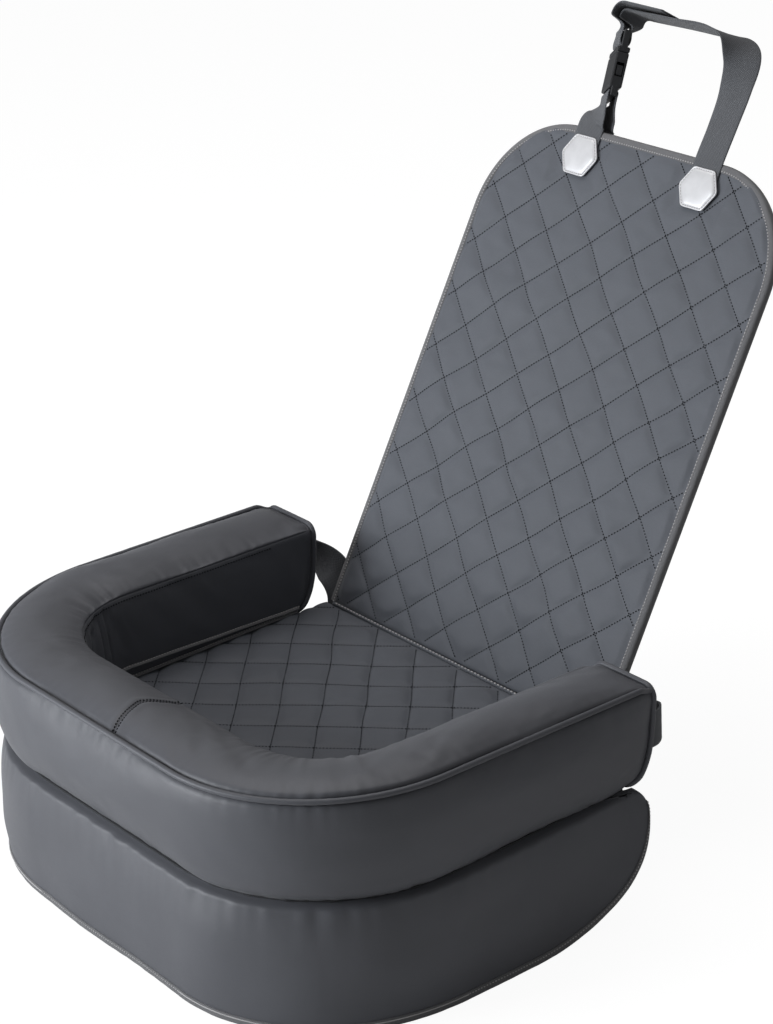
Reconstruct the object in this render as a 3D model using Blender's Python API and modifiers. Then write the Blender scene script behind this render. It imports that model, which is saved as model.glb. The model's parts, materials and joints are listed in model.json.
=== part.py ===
"""A dog car seat: a U-shaped padded bolster round a quilted seat pad, with a skirt
that hangs below it, a quilted backrest that folds at a sewn seam, a buckled webbing
loop for a headrest and a buckled belt behind the arms. Metres, +Z up, front at -Y."""

import math

import bmesh
import bpy
from mathutils import Matrix, Vector

# Driving sizes of the seat
SEAT_WIDTH = 0.600
SEAT_DEPTH = 0.430
BOLSTER_HEIGHT = 0.108
BOLSTER_THICKNESS = 0.082
FRONT_THICKNESS = 0.088
OUTER_CORNER = 0.180
ARM_DROP = 0.006
SKIRT_DROP = 0.128
RECLINE_DEG = 30.0
BACKREST_LENGTH = 0.568
BACKREST_CORNER = 0.110
SKIN = 0.0016
GAP = 0.0003

# Shape of the stuffed bolster
OUTER_BULGE = 0.006
INNER_BULGE = 0.003
CROWN = 0.012
INNER_EDGE_DROP = 0.005
CURL = 0.0050
STUFFING_GAP = 0.0012
PIPING_RADIUS = 0.0028
END_BULGE_SHARE = 0.3
END_LEAN = 0.009
END_TUCK = 0.026
END_REACH = 0.110
END_TUCK_POWER = 6
END_CLEARANCE = 0.0066
ARM_STEPS = 5
CORNER_STEPS = 7
FRONT_STEPS = 4
SIDE_STEPS = 5
TOP_STEPS = 7

# Base, seat pad and its lips
BASE_THICKNESS = 0.0024
BASE_INSET = 0.0062
PAD_WADDING = 0.0045
PAD_CLEARANCE = 0.0012
QUILT_BASE = 0.0018
QUILT_PUFF = 0.0032
QUILT_ACROSS = 0.065
QUILT_ALONG = 0.0605
QUILT_STEPS = 2
QUILT_CREASE_DEG = 12.0
LIP_WIDTH = 0.0045
LIP_THICKNESS = 0.0012
LIP_SETBACK = 0.022
SEAM_LIP_RISE = 0.010

# Skirt
SKIRT_THICKNESS = 0.0030
SKIRT_TUCK = 0.0032
SKIRT_FLARE = 0.0085
SKIRT_BULGE = 0.0060
SKIRT_REAR = 0.197
SKIRT_FLAT_END = 0.050
SKIRT_END_HEIGHT = 0.020
SKIRT_END_PULL = 0.009
SKIRT_STEPS = 7
SKIRT_CURVE_STEPS = 9
TAPE_WIDTH = 0.0090
TAPE_THICKNESS = 0.0010
TAPE_CLEARANCE = 0.0008

# Backrest
HINGE_BACK = 0.0075
FOLD_RADIUS = 0.0018
FOLD_CLEARANCE = 0.0005
BACKREST_SIDE_GAP = 0.0005
BACKREST_WADDING = 0.0032
BACKING = 0.0014
BORDER = 0.0090

# Patches and webbing
WEBBING_WIDTH = 0.038
WEBBING_THICKNESS = 0.0018
STRAP_SPREAD = 0.086
STRAP_TUCK = 0.040
PATCH_WIDTH = 0.053
PATCH_LENGTH = 0.042
PATCH_THICKNESS = 0.0014
PATCH_BELOW_EDGE = 0.030
LOOP_RISE = 0.127

# Side-release buckle, its long axis from the socket's bar to the plug's bar
BUCKLE_WIDTH = 0.048
BUCKLE_THICKNESS = 0.013
BAR = 0.0044
BAR_THICKNESS = 0.0070
SLOT = 0.0044
SLOT_WIDTH = 0.0394
SOCKET_LENGTH = 0.046
CAVITY_WIDTH = 0.037
CAVITY_THICKNESS = 0.0080
CAVITY_DEPTH = 0.0330
WINDOW_LENGTH = 0.0150
WINDOW_TOP = 0.0110
SHOULDER = 0.0060
TONGUE_WIDTH = 0.0110
TONGUE_LENGTH = 0.0240
TONGUE_THICKNESS = 0.0040
ARM_WIDTH = 0.0030
ARM_ROOT = 0.0115
ARM_THICKNESS = 0.0060
PAD_LENGTH = 0.0130
BUCKLE_BEVEL = 0.0014
HEADREST_BUCKLE_RISE = 0.0345
HEADREST_BUCKLE_SIDE = 0.080
HEADREST_BUCKLE_LEAN_DEG = 10.0
HEADREST_BUCKLE_TWIST_DEG = -38.0

# Belt behind the arms
BELT_EXIT_INSET = 0.015
BELT_EXIT_HEIGHT = 0.046
BELT_STANDOFF = 0.027
BELT_TURN = 0.007
BELT_DROP_OUTSET = 0.0085
BELT_LOW = 0.072
BELT_BUCKLE_BACK = 0.036

SIDES = {"left": -1, "right": 1}
COLLECTION = "dog_car_seat"
CUTTERS = "cutters"

# Heights and depths that follow from the driving sizes
HALF_WIDTH = SEAT_WIDTH / 2
HALF_DEPTH = SEAT_DEPTH / 2
BOLSTER_BOTTOM = SKIRT_DROP
INNER_HALF = HALF_WIDTH - BOLSTER_THICKNESS
HINGE_Y = HALF_DEPTH + HINGE_BACK
PAD_BOTTOM = BOLSTER_BOTTOM + BASE_THICKNESS + GAP
PAD_TOP = PAD_BOTTOM + PAD_WADDING + GAP + QUILT_BASE
HINGE_Z = PAD_TOP
BACKREST_HALF = INNER_HALF - INNER_BULGE - BACKREST_SIDE_GAP
FOLD_REACH = FOLD_RADIUS + FOLD_CLEARANCE


def clear_scene():
    for obj in list(bpy.data.objects):
        bpy.data.objects.remove(obj, do_unlink=True)


def collection(name):
    found = bpy.data.collections.new(name)
    bpy.context.scene.collection.children.link(found)
    return found


def material(name, colour, roughness, metallic=0.0):
    made = bpy.data.materials.new(name)
    made.use_nodes = True
    shader = made.node_tree.nodes["Principled BSDF"]
    shader.inputs["Base Color"].default_value = (*colour, 1.0)
    shader.inputs["Roughness"].default_value = roughness
    shader.inputs["Metallic"].default_value = metallic
    return made


def add_mesh(name, bm, finish, group="parts"):
    """Turn a bmesh into a named object with a material."""
    bmesh.ops.recalc_face_normals(bm, faces=bm.faces)
    mesh = bpy.data.meshes.new(name)
    bm.to_mesh(mesh)
    bm.free()
    obj = bpy.data.objects.new(name, mesh)
    GROUPS[group].objects.link(obj)
    if finish:
        mesh.materials.append(FINISHES[finish](name))
    return obj


def smooth(obj, angle_deg=35.0):
    obj.data.shade_smooth()
    obj.data.set_sharp_from_angle(angle=math.radians(angle_deg))
    return obj


def hang_on(obj, parent):
    obj.parent = parent
    return obj


def loft(name, rings, finish, closed=False, strip=False):
    """A closed solid through rings of points, capped unless the path closes.

    A strip's rings have four points, and its two broad faces are split into
    triangles along the same diagonals, so that a twist keeps them apart.
    """
    bm = bmesh.new()
    rows = [[bm.verts.new(point) for point in ring] for ring in rings]
    count = len(rows[0])
    spans = list(zip(rows, rows[1:] + rows[:1])) if closed else list(zip(rows, rows[1:]))
    for row, after in spans:
        for i in range(count):
            j = (i + 1) % count
            corners = (row[i], row[j], after[j], after[i])
            if not strip:
                bm.faces.new(corners)
                continue
            a, b, c, d = corners
            halves = ((a, b, d), (b, c, d)) if i == 2 else ((a, b, c), (a, c, d))
            for half in halves:
                bm.faces.new(half)
    if not closed:
        bm.faces.new(rows[0])
        bm.faces.new(list(reversed(rows[-1])))
    return smooth(add_mesh(name, bm, finish))


def arc(centre_x, centre_y, radius, start_deg, end_deg, steps):
    """Points of an arc in a plane, from its start to its end."""
    points = []
    for i in range(steps + 1):
        angle = math.radians(start_deg + (end_deg - start_deg) * i / steps)
        points.append((centre_x + radius * math.cos(angle), centre_y + radius * math.sin(angle)))
    return points


def u_stations(rear, straight_steps):
    """Places along the U of the bolster, from the left arm's end round the front.

    Each is the point of the outer face in plan, the inward direction, and how far
    back along its arm the place is, from 0 at the corner to 1 at the end.
    """
    centre_x = HALF_WIDTH - OUTER_CORNER
    centre_y = OUTER_CORNER - HALF_DEPTH
    right = []
    for i in range(FRONT_STEPS // 2 + 1):
        x = centre_x * i / (FRONT_STEPS // 2)
        right.append((Vector((x, -HALF_DEPTH, 0)), Vector((0, 1, 0)), 0.0))
    for i in range(1, CORNER_STEPS + 1):
        angle = math.radians(-90 + 90 * i / CORNER_STEPS)
        out = Vector((math.cos(angle), math.sin(angle), 0))
        right.append((Vector((centre_x, centre_y, 0)) + OUTER_CORNER * out, -out, 0.0))
    for i in range(1, straight_steps + 1):
        share = i / straight_steps
        y = centre_y + (rear - centre_y) * share
        right.append((Vector((HALF_WIDTH, y, 0)), Vector((-1, 0, 0)), share))
    left = [
        (Vector((-p.x, p.y, 0)), Vector((-n.x, n.y, 0)), share) for p, n, share in right[1:]
    ]
    return list(reversed(left)) + right


def place(station, inward, height):
    """A point at a distance in from the outer face and a height over the bolster's bottom."""
    point, normal, _ = station
    return leaning(point + normal * inward + Vector((0, 0, BOLSTER_BOTTOM + height)), END_CLEARANCE)


def leaning(point, clearance=0.0):
    """The point moved forward where the arms' ends lean in and tuck under.

    A clearance moves it further where the end slopes, so that it stays clear of
    the end's piping.
    """
    near = (point.y - HALF_DEPTH + END_REACH) / (END_REACH - SEAM_REACH)
    down = 1.0 - (point.z - BOLSTER_BOTTOM) / BOLSTER_HEIGHT
    if near <= 0.0 or down <= 0.0 or down > 1.0:
        return point
    near = min(near, 1.0)
    slope = (END_LEAN + END_TUCK * END_TUCK_POWER * down ** (END_TUCK_POWER - 1)) / BOLSTER_HEIGHT
    pull = END_LEAN * down + END_TUCK * down**END_TUCK_POWER
    pull += clearance * (math.hypot(1.0, slope) - 1.0)
    return Vector((point.x, point.y - pull * near * near * (3.0 - 2.0 * near), point.z))


def strip(line, thickness):
    """The closed outline of a strip whose middle is an open line in a plane."""
    half = thickness / 2
    normals = []
    for i in range(len(line)):
        before = line[max(i - 1, 0)]
        after = line[min(i + 1, len(line) - 1)]
        along = Vector((after[0] - before[0], after[1] - before[1])).normalized()
        normals.append(Vector((-along.y, along.x)))
    side = [Vector(p) + n * half for p, n in zip(line, normals)]
    other = [Vector(p) - n * half for p, n in zip(line, normals)]
    return side + list(reversed(other))


def thickness_at(station):
    """How thick the bolster is across here, from its arms to its deeper front."""
    across = station[1].y ** 2
    return BOLSTER_THICKNESS + (FRONT_THICKNESS - BOLSTER_THICKNESS) * across


def fade(share):
    """How much of its bulge the bolster keeps this far along an arm."""
    return 1.0 - (1.0 - END_BULGE_SHARE) * max(0.0, share) ** 3


def height_at(share):
    return BOLSTER_HEIGHT - ARM_DROP * max(0.0, share)


def outer_side(station, low, high, skin_depth):
    """Points up the bolster's outer side, this deep under its surface."""
    points = []
    for i in range(SIDE_STEPS + 1):
        part = i / SIDE_STEPS
        bulge = OUTER_BULGE * fade(station[2]) * math.sin(math.pi * part)
        points.append((skin_depth - bulge, low + (high - low) * part))
    return points


def inner_side(station, low, high, skin_depth):
    """Points down the bolster's inner side, this deep under its surface."""
    points = []
    for i in range(SIDE_STEPS + 1):
        part = i / SIDE_STEPS
        bulge = INNER_BULGE * fade(station[2]) * math.sin(math.pi * part)
        inward = thickness_at(station) - skin_depth + bulge
        points.append((inward, high + (low - high) * part))
    return points


def crown_line(station, start, end, skin_depth):
    """Points over the bolster's crowned top, this deep under its surface."""
    points = []
    for i in range(TOP_STEPS + 1):
        part = i / TOP_STEPS
        inward = start + (end - start) * part
        across = inward / thickness_at(station)
        lift = CROWN * fade(station[2]) * math.sin(math.pi * min(max(across, 0.0), 1.0)) ** 0.8
        top = height_at(station[2]) - INNER_EDGE_DROP * across
        points.append((inward, top + lift - skin_depth))
    return points


SEAM_REACH = PIPING_RADIUS + GAP


def build_bolster():
    arm_rear = HALF_DEPTH - SEAM_REACH
    stations = u_stations(arm_rear, ARM_STEPS)
    half_skin = SKIN / 2

    band_rings = []
    top_rings = []
    inner_rings = []
    for station in stations:
        share = station[2]
        top = height_at(share)
        outer = [(CURL, half_skin), (half_skin + SKIN, half_skin)]
        outer += outer_side(station, 2 * SKIN, top - SEAM_REACH, half_skin)
        band_rings.append([place(station, *p) for p in strip(outer, SKIN)])
        crown = crown_line(station, SEAM_REACH, thickness_at(station), half_skin)
        top_rings.append([place(station, *p) for p in strip(crown, SKIN)])
        edge = top - INNER_EDGE_DROP - SKIN - GAP * 2
        inner = inner_side(station, BASE_THICKNESS + GAP, edge, half_skin)
        inner_rings.append([place(station, *p) for p in strip(inner, SKIN)])
    loft("bolster_outer_band", band_rings, "leather")
    loft("bolster_top_panel", top_rings, "leather")
    loft("bolster_inner_band", inner_rings, "leather")

    build_foam(stations)
    build_pipings(stations)
    for side, sign in SIDES.items():
        build_end_panel(side, sign)


def build_foam(stations):
    """The core that fills the bolster, drawn in at each arm's end."""
    depth = SKIN + STUFFING_GAP
    chamfer = 2 * PIPING_RADIUS
    rings = []
    for station in stations:
        share = station[2]
        top = height_at(share)
        pull = chamfer if share == 1.0 else 0.0
        bottom = BASE_THICKNESS + GAP
        outline = outer_side(station, bottom + SKIN, top - depth - chamfer, depth + pull)
        outline[0] = (CURL, bottom)
        crown = crown_line(station, chamfer + depth, thickness_at(station) - depth, depth + pull)
        outline += crown[:-1]
        edge = top - INNER_EDGE_DROP - chamfer
        outline += inner_side(station, bottom, edge, depth + GAP + pull)
        rings.append([place(station, *p) for p in outline])
    loft("bolster_foam_core", rings, "foam")


def tube(name, points, radius, finish, cyclic=False):
    """A cord along the points, as a curve with a round bevel and filled caps."""
    curve = bpy.data.curves.new(name, "CURVE")
    curve.dimensions = "3D"
    curve.bevel_depth = radius
    curve.bevel_resolution = 2
    curve.use_fill_caps = True
    spline = curve.splines.new("POLY")
    spline.points.add(len(points) - 1)
    for item, point in zip(spline.points, points):
        item.co = (*point, 1.0)
    spline.use_cyclic_u = cyclic
    curve.materials.append(FINISHES[finish](name))
    obj = bpy.data.objects.new(name, curve)
    GROUPS["parts"].objects.link(obj)
    return obj


def end_outline(inset, steps):
    """The outline of an arm's end in its own plane, as inward distance and height."""
    top = height_at(1.0) - INNER_EDGE_DROP / 2
    radius = END_CORNER - inset
    low_x = END_CORNER
    high_x = BOLSTER_THICKNESS - PIPING_RADIUS - END_CORNER
    high_z = top - END_CORNER
    low_z = END_CORNER + PIPING_RADIUS
    rise = [low_z + (high_z - low_z) * i / SIDE_STEPS for i in range(1, SIDE_STEPS)]
    return (
        arc(high_x, high_z, radius, 0, 90, steps)
        + arc(low_x, high_z, radius, 90, 180, steps)
        + [(inset, z) for z in reversed(rise)]
        + arc(low_x, low_z, radius, 180, 270, steps)
        + arc(high_x, low_z, radius, 270, 360, steps)
        + [(high_x + END_CORNER - inset, z) for z in rise]
    )


END_CORNER = 0.0120
END_CORNER_STEPS = 3
PIPING_SETBACK = 0.0034


def build_pipings(stations):
    stop = HALF_DEPTH - SEAM_REACH - PIPING_SETBACK
    path = []
    for station in stations:
        point, normal, share = station
        inside = (Vector((point.x, min(point.y, stop), 0)), normal, share)
        path.append(place(inside, 0.0, height_at(share)))
    tube("bolster_piping", path, PIPING_RADIUS, "leather")
    for side, sign in SIDES.items():
        loop = [
            leaning(Vector((sign * (HALF_WIDTH - x), HALF_DEPTH, BOLSTER_BOTTOM + z)))
            for x, z in end_outline(0.0, END_CORNER_STEPS)
        ]
        tube(f"end_piping_{side}", loop, PIPING_RADIUS, "leather", cyclic=True)


def build_end_panel(side, sign):
    """A panel that closes an arm, inside its piping, and leans as the arm's end does."""
    outline = end_outline(SEAM_REACH, END_CORNER_STEPS)
    count = len(outline)
    right = [p for p in outline if p[0] < BOLSTER_THICKNESS / 2]
    low = min(z for _, z in right)
    high = max(z for _, z in right)
    levels = sorted({z for _, z in right} | {low + (high - low) * i / count for i in range(count)})
    rings = []
    for z in levels:
        near = edge_at(right, z)
        far = BOLSTER_THICKNESS - PIPING_RADIUS - near
        rings.append([
            leaning(Vector((sign * (HALF_WIDTH - x), HALF_DEPTH + y, BOLSTER_BOTTOM + z)))
            for x, y in ((near, -SKIN / 2), (far, -SKIN / 2), (far, SKIN / 2), (near, SKIN / 2))
        ])
    loft(f"end_panel_{side}", rings, "leather")


def edge_at(outline, height):
    """Where an outline lies across at a height, between its points."""
    points = sorted(outline, key=lambda p: p[1])
    for (x0, z0), (x1, z1) in zip(points, points[1:]):
        if z0 <= height <= z1 and z1 > z0:
            return x0 + (x1 - x0) * (height - z0) / (z1 - z0)
    return points[-1][0]


def extrude_outline(name, outline, thickness, finish, matrix=Matrix(), group="parts"):
    """A flat outline given a thickness to both sides of its plane, as a mesh."""
    curve = bpy.data.curves.new(name, "CURVE")
    curve.dimensions = "2D"
    curve.fill_mode = "BOTH"
    curve.extrude = thickness / 2
    spline = curve.splines.new("POLY")
    spline.points.add(len(outline) - 1)
    for item, point in zip(spline.points, outline):
        item.co = (point[0], point[1], 0.0, 1.0)
    spline.use_cyclic_u = True
    guide = bpy.data.objects.new(name, curve)
    GROUPS["parts"].objects.link(guide)
    bpy.context.view_layer.update()
    mesh = bpy.data.meshes.new_from_object(guide.evaluated_get(bpy.context.evaluated_depsgraph_get()))
    bpy.data.objects.remove(guide, do_unlink=True)
    bm = bmesh.new()
    bm.from_mesh(mesh)
    bpy.data.meshes.remove(mesh)
    bmesh.ops.remove_doubles(bm, verts=bm.verts, dist=GAP / 10)
    bmesh.ops.transform(bm, matrix=matrix, verts=bm.verts)
    return add_mesh(name, bm, finish, group)


def u_outline(inset, rear):
    """A closed plan outline: the bolster's outer U moved in, and cut off straight at the rear."""
    moved = [point + normal * inset for point, normal, _ in u_stations(rear, 1)]
    return [(point.x, point.y) for point in moved]


def build_base():
    middle = BOLSTER_BOTTOM + BASE_THICKNESS / 2
    short = HALF_DEPTH - END_LEAN - END_TUCK - SEAM_REACH
    rear = HALF_DEPTH - GAP
    side = INNER_HALF - INNER_BULGE
    outline = u_outline(BASE_INSET, short)
    outline = [(-side, rear), (-side, short)] + outline + [(side, short), (side, rear)]
    extrude_outline(
        "base_panel", outline, BASE_THICKNESS, "base", Matrix.Translation((0, 0, middle))
    )


def quilt(name, outline, puff_inside, reach, crossing, finish, matrix):
    """A quilted cover: pillows between crossed stitch lines over a flat back.

    The lines cross at (0, crossing). The grid of pillows is laid over a square of
    this reach round there, then cut to the outline.
    """
    cells = math.ceil(2 * reach / QUILT_ALONG)
    segments = 2 * cells * QUILT_STEPS
    bm = bmesh.new()
    bmesh.ops.create_grid(bm, x_segments=segments, y_segments=segments, size=1.0)
    for vert in bm.verts:
        right = vert.co.x * cells
        left = vert.co.y * cells
        x = (right - left) * QUILT_ACROSS / 2
        y = (right + left) * QUILT_ALONG / 2 + crossing
        puff = abs(math.sin(math.pi * right)) * abs(math.sin(math.pi * left))
        vert.co = (x, y, QUILT_BASE + (QUILT_PUFF * puff if puff_inside(x, y) else 0.0))
    rim = [edge for edge in bm.edges if edge.is_boundary]
    walls = bmesh.ops.extrude_edge_only(bm, edges=rim)
    low = [item for item in walls["geom"] if isinstance(item, bmesh.types.BMVert)]
    for vert in low:
        vert.co.z = 0.0
    bmesh.ops.holes_fill(bm, edges=[edge for edge in bm.edges if edge.is_boundary])
    obj = add_mesh(name, bm, None)
    tall = 4 * (QUILT_BASE + QUILT_PUFF)
    cutter = extrude_outline(f"{name}_outline", outline, tall, None, group="cutters")
    cutter.hide_render = True
    cutter.display_type = "WIRE"
    cut = obj.modifiers.new("trim to the outline", "BOOLEAN")
    cut.operation = "INTERSECT"
    cut.solver = "EXACT"
    cut.object = cutter
    bpy.context.view_layer.update()
    graph = bpy.context.evaluated_depsgraph_get()
    trimmed = bpy.data.meshes.new_from_object(obj.evaluated_get(graph))
    bpy.data.objects.remove(obj, do_unlink=True)
    bm = bmesh.new()
    bm.from_mesh(trimmed)
    bpy.data.meshes.remove(trimmed)
    bmesh.ops.remove_doubles(bm, verts=bm.verts, dist=GAP / 10)
    flat = [
        edge for edge in bm.edges
        if len(edge.link_faces) == 2 and all(abs(v.co.z) < GAP / 10 for f in edge.link_faces for v in f.verts)
    ]
    bmesh.ops.dissolve_edges(bm, edges=flat, use_verts=False)
    bmesh.ops.transform(bm, matrix=matrix, verts=bm.verts)
    return smooth(add_mesh(name, bm, finish), QUILT_CREASE_DEG)


def pad_outline(inset, rear):
    """The seat pad's plan outline, inside the bolster's inner face."""
    moved = [s[0] + s[1] * (thickness_at(s) + inset) for s in u_stations(rear, 1)]
    return [(point.x, point.y) for point in moved]


def build_pad():
    rear = HINGE_Y - FOLD_REACH
    outline = pad_outline(PAD_CLEARANCE, rear)
    extrude_outline(
        "seat_pad_wadding", outline, PAD_WADDING, "wadding",
        Matrix.Translation((0, 0, PAD_BOTTOM + PAD_WADDING / 2)),
    )
    inset = PAD_CLEARANCE + LIP_WIDTH + QUILT_ACROSS / (4 * QUILT_STEPS)
    bound = pad_outline(inset, rear)
    front = min(y for _, y in bound)
    half = max(x for x, _ in bound)
    corner = OUTER_CORNER - BOLSTER_THICKNESS - inset

    def puffs(x, y):
        if abs(x) > half or y < front or y > rear - LIP_WIDTH - QUILT_ALONG / 4:
            return False
        over_x = abs(x) - (half - corner)
        over_y = (front + corner) - y
        return over_x < 0 or over_y < 0 or math.hypot(over_x, over_y) < corner

    z = PAD_BOTTOM + PAD_WADDING + GAP
    quilt(
        "seat_pad_quilt", outline, puffs, HALF_WIDTH, HINGE_Y, "quilt",
        Matrix.Translation((0, 0, z)),
    )

    stations = u_stations(HINGE_Y - LIP_SETBACK, ARM_STEPS)
    lowest = PAD_TOP - BOLSTER_BOTTOM + QUILT_PUFF + GAP
    for name, base, rise in (
        ("pad_seam_lip", lowest, 0.0),
        ("band_seam_lip", lowest + 2 * LIP_THICKNESS, SEAM_LIP_RISE),
    ):
        rings = []
        for station in stations:
            share = station[2]
            low = base + rise * (1.0 - share)
            high = low + LIP_THICKNESS
            near = inner_face(station, high) + GAP
            far = near + LIP_WIDTH
            section = [(near, low), (near, high), (far, high), (far, low)]
            rings.append([place(station, *p) for p in section])
        loft(name, rings, "binding")


def inner_face(station, height):
    """How far in from the outer face the bolster's inner face lies at a height."""
    top = height_at(station[2]) - INNER_EDGE_DROP
    bulge = INNER_BULGE * fade(station[2]) * math.sin(math.pi * height / top)
    return thickness_at(station) + bulge


def skirt_edge(y):
    """The height of the skirt's free edge this far back, from its flat hem to its rear end."""
    if y <= SKIRT_FLAT_END:
        return 0.0
    share = min((y - SKIRT_FLAT_END) / (SKIRT_REAR - SKIRT_FLAT_END), 1.0)
    return (SKIRT_DROP - SKIRT_END_HEIGHT) * (1.0 - math.sqrt(1.0 - share * share))


def skirt_stations():
    """The U of the skirt, with closer places where its free edge curves up at the rear."""
    flat = u_stations(SKIRT_FLAT_END, 2)
    curve = []
    for i in range(1, SKIRT_CURVE_STEPS + 1):
        angle = math.radians(90 * i / SKIRT_CURVE_STEPS)
        y = SKIRT_FLAT_END + (SKIRT_REAR - SKIRT_FLAT_END) * math.sin(angle)
        curve.append((Vector((HALF_WIDTH, y, 0)), Vector((-1, 0, 0)), 0.0))
    left = [(Vector((-p.x, p.y, 0)), Vector((1, 0, 0)), s) for p, _, s in reversed(curve)]
    return left + flat + curve


def skirt_inward(z):
    """How far in from the bolster's face the middle of the skirt's cloth lies at a height."""
    down = 1.0 - z / SKIRT_DROP
    return SKIRT_TUCK - (SKIRT_TUCK + SKIRT_FLARE) * math.sqrt(down) - SKIRT_BULGE * math.sin(
        math.pi * down
    )


def build_skirt():
    """Cloth that hangs from the bolster's lower seam, bound with tape along its free edge."""
    stations = skirt_stations()
    lip = TAPE_THICKNESS + TAPE_CLEARANCE
    panel_rings = []
    tape_rings = []
    for station in stations:
        edge = skirt_edge(station[0].y)
        low = edge + lip
        high = SKIRT_DROP - GAP
        line = []
        for i in range(SKIRT_STEPS + 1):
            z = low + (high - low) * i / SKIRT_STEPS
            line.append((skirt_inward(z), z - BOLSTER_BOTTOM))
        panel_rings.append([
            gathered(place(station, *p)) for p in strip(line, SKIRT_THICKNESS)
        ])
        tape_rings.append([place(station, *p) for p in tape_section(edge)])
    loft("skirt_panel", panel_rings, "leather")
    loft("skirt_binding", tape_rings, "binding")


def gathered(point):
    """The point moved forward where the skirt's rear end is sewn in under the arm."""
    back = (point.y - SKIRT_FLAT_END) / (SKIRT_REAR - SKIRT_FLAT_END)
    up = (point.z - BOLSTER_BOTTOM + SKIRT_END_HEIGHT) / SKIRT_END_HEIGHT
    if back <= 0.0 or up <= 0.0:
        return point
    return point - Vector((0, SKIRT_END_PULL * up * up * back**3, 0))


def tape_section(edge):
    """The folded tape's section where it wraps the free edge at this height."""
    inner = SKIRT_THICKNESS / 2 + TAPE_CLEARANCE
    outer = inner + TAPE_THICKNESS
    floor = edge + TAPE_THICKNESS
    top = edge + min(TAPE_WIDTH, SKIRT_END_HEIGHT / 2)
    up = [(skirt_inward(z), z) for z in (floor, (floor + top) / 2, top)]
    foot = skirt_inward(floor)
    section = [(foot - outer, edge)] + [(x - outer, z) for x, z in up[1:]]
    section += [(x - inner, z) for x, z in reversed(up)]
    section += [(x + inner, z) for x, z in up]
    section += [(x + outer, z) for x, z in reversed(up[1:])] + [(foot + outer, edge)]
    return [(x, z - BOLSTER_BOTTOM) for x, z in section]


def backrest_outline(inset, low, steps=8):
    """The backrest's outline in its own plane, up its left side and down its right."""
    half = BACKREST_HALF - inset
    top = BACKREST_LENGTH - inset
    corner = BACKREST_CORNER - inset
    left = arc(corner - half, top - corner, corner, 180, 90, steps)
    right = [(-x, z) for x, z in reversed(left)]
    return [(-half, low)] + left + right + [(half, low)]


def to_backrest(depth):
    """Stand a flat piece, drawn in plan, up in the backrest's plane this far back."""
    return Matrix.Translation((0, depth, 0)) @ Matrix.Rotation(math.radians(90), 4, "X")


FRONT_FACE = FOLD_RADIUS
WADDING_FRONT = FRONT_FACE + QUILT_BASE + GAP
BACKING_FRONT = WADDING_FRONT + BACKREST_WADDING + GAP
BACK_FACE = BACKING_FRONT + BACKING


def build_backrest(hinge):
    """The backrest in its hinge's frame, upright: front cover, wadding, backing and binding."""
    low = math.sqrt(FOLD_REACH**2 - FRONT_FACE**2)
    inner = backrest_outline(BORDER + GAP, low)
    whole = backrest_outline(TAPE_THICKNESS + GAP, low)

    def puffs(x, y):
        margin = BORDER + QUILT_ACROSS / (4 * QUILT_STEPS)
        half = BACKREST_HALF - margin
        top = BACKREST_LENGTH - margin
        corner = BACKREST_CORNER - margin
        if abs(x) > half or y > top or y < low + QUILT_ALONG / 4:
            return False
        step = QUILT_ACROSS / (2 * QUILT_STEPS)
        under_patch = BACKREST_LENGTH - PATCH_BELOW_EDGE - PATCH_LENGTH / 2 - step
        if y > under_patch and abs(abs(x) - STRAP_SPREAD) < PATCH_WIDTH / 2 + step:
            return False
        over_x = abs(x) - (half - corner)
        over_y = y - (top - corner)
        return over_x < 0 or over_y < 0 or math.hypot(over_x, over_y) < corner

    pieces = [
        quilt(
            "backrest_quilt", inner, puffs, BACKREST_LENGTH, 0.0, "quilt",
            to_backrest(FRONT_FACE + QUILT_BASE),
        ),
        extrude_outline(
            "backrest_wadding", whole, BACKREST_WADDING, "wadding",
            to_backrest(WADDING_FRONT + BACKREST_WADDING / 2),
        ),
        extrude_outline(
            "backrest_backing", whole, BACKING, "backing",
            to_backrest(BACKING_FRONT + BACKING / 2),
        ),
    ]
    rings = []
    outer_line = backrest_outline(0.0, low)
    inner_line = backrest_outline(TAPE_THICKNESS, low)
    lip_line = backrest_outline(BORDER, low)
    front = (FRONT_FACE, FRONT_FACE + QUILT_BASE)
    back = (BACK_FACE + GAP, BACK_FACE + GAP + TAPE_THICKNESS)
    for outer, wall, lip in zip(outer_line, inner_line, lip_line):
        rings.append([
            (outer[0], front[0], outer[1]), (lip[0], front[0], lip[1]),
            (lip[0], front[1], lip[1]), (wall[0], front[1], wall[1]),
            (wall[0], back[0], wall[1]), (lip[0], back[0], lip[1]),
            (lip[0], back[1], lip[1]), (outer[0], back[1], outer[1]),
        ])
    pieces.append(loft("backrest_binding", rings, "binding"))
    for side, sign in SIDES.items():
        pieces.append(build_patch(side, sign))
    for piece in pieces:
        hang_on(piece, hinge)


STRAP_FRONT = FRONT_FACE - GAP - WEBBING_THICKNESS / 2
PATCH_FRONT = STRAP_FRONT - WEBBING_THICKNESS / 2 - GAP - PATCH_THICKNESS / 2


def build_patch(side, sign):
    """A six-sided patch over a strap's sewn end."""
    half = PATCH_WIDTH / 2
    tall = PATCH_LENGTH / 2
    flat = half * PATCH_FLAT_SHARE
    middle_x = sign * STRAP_SPREAD
    middle_z = BACKREST_LENGTH - PATCH_BELOW_EDGE
    corners = [(-flat, tall), (-half, 0), (-flat, -tall), (flat, -tall), (half, 0), (flat, tall)]
    outline = [(middle_x + x, middle_z + z) for x, z in corners]
    return extrude_outline(
        f"patch_{side}", outline, PATCH_THICKNESS, "patch", to_backrest(PATCH_FRONT)
    )


PATCH_FLAT_SHARE = 0.55


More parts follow.
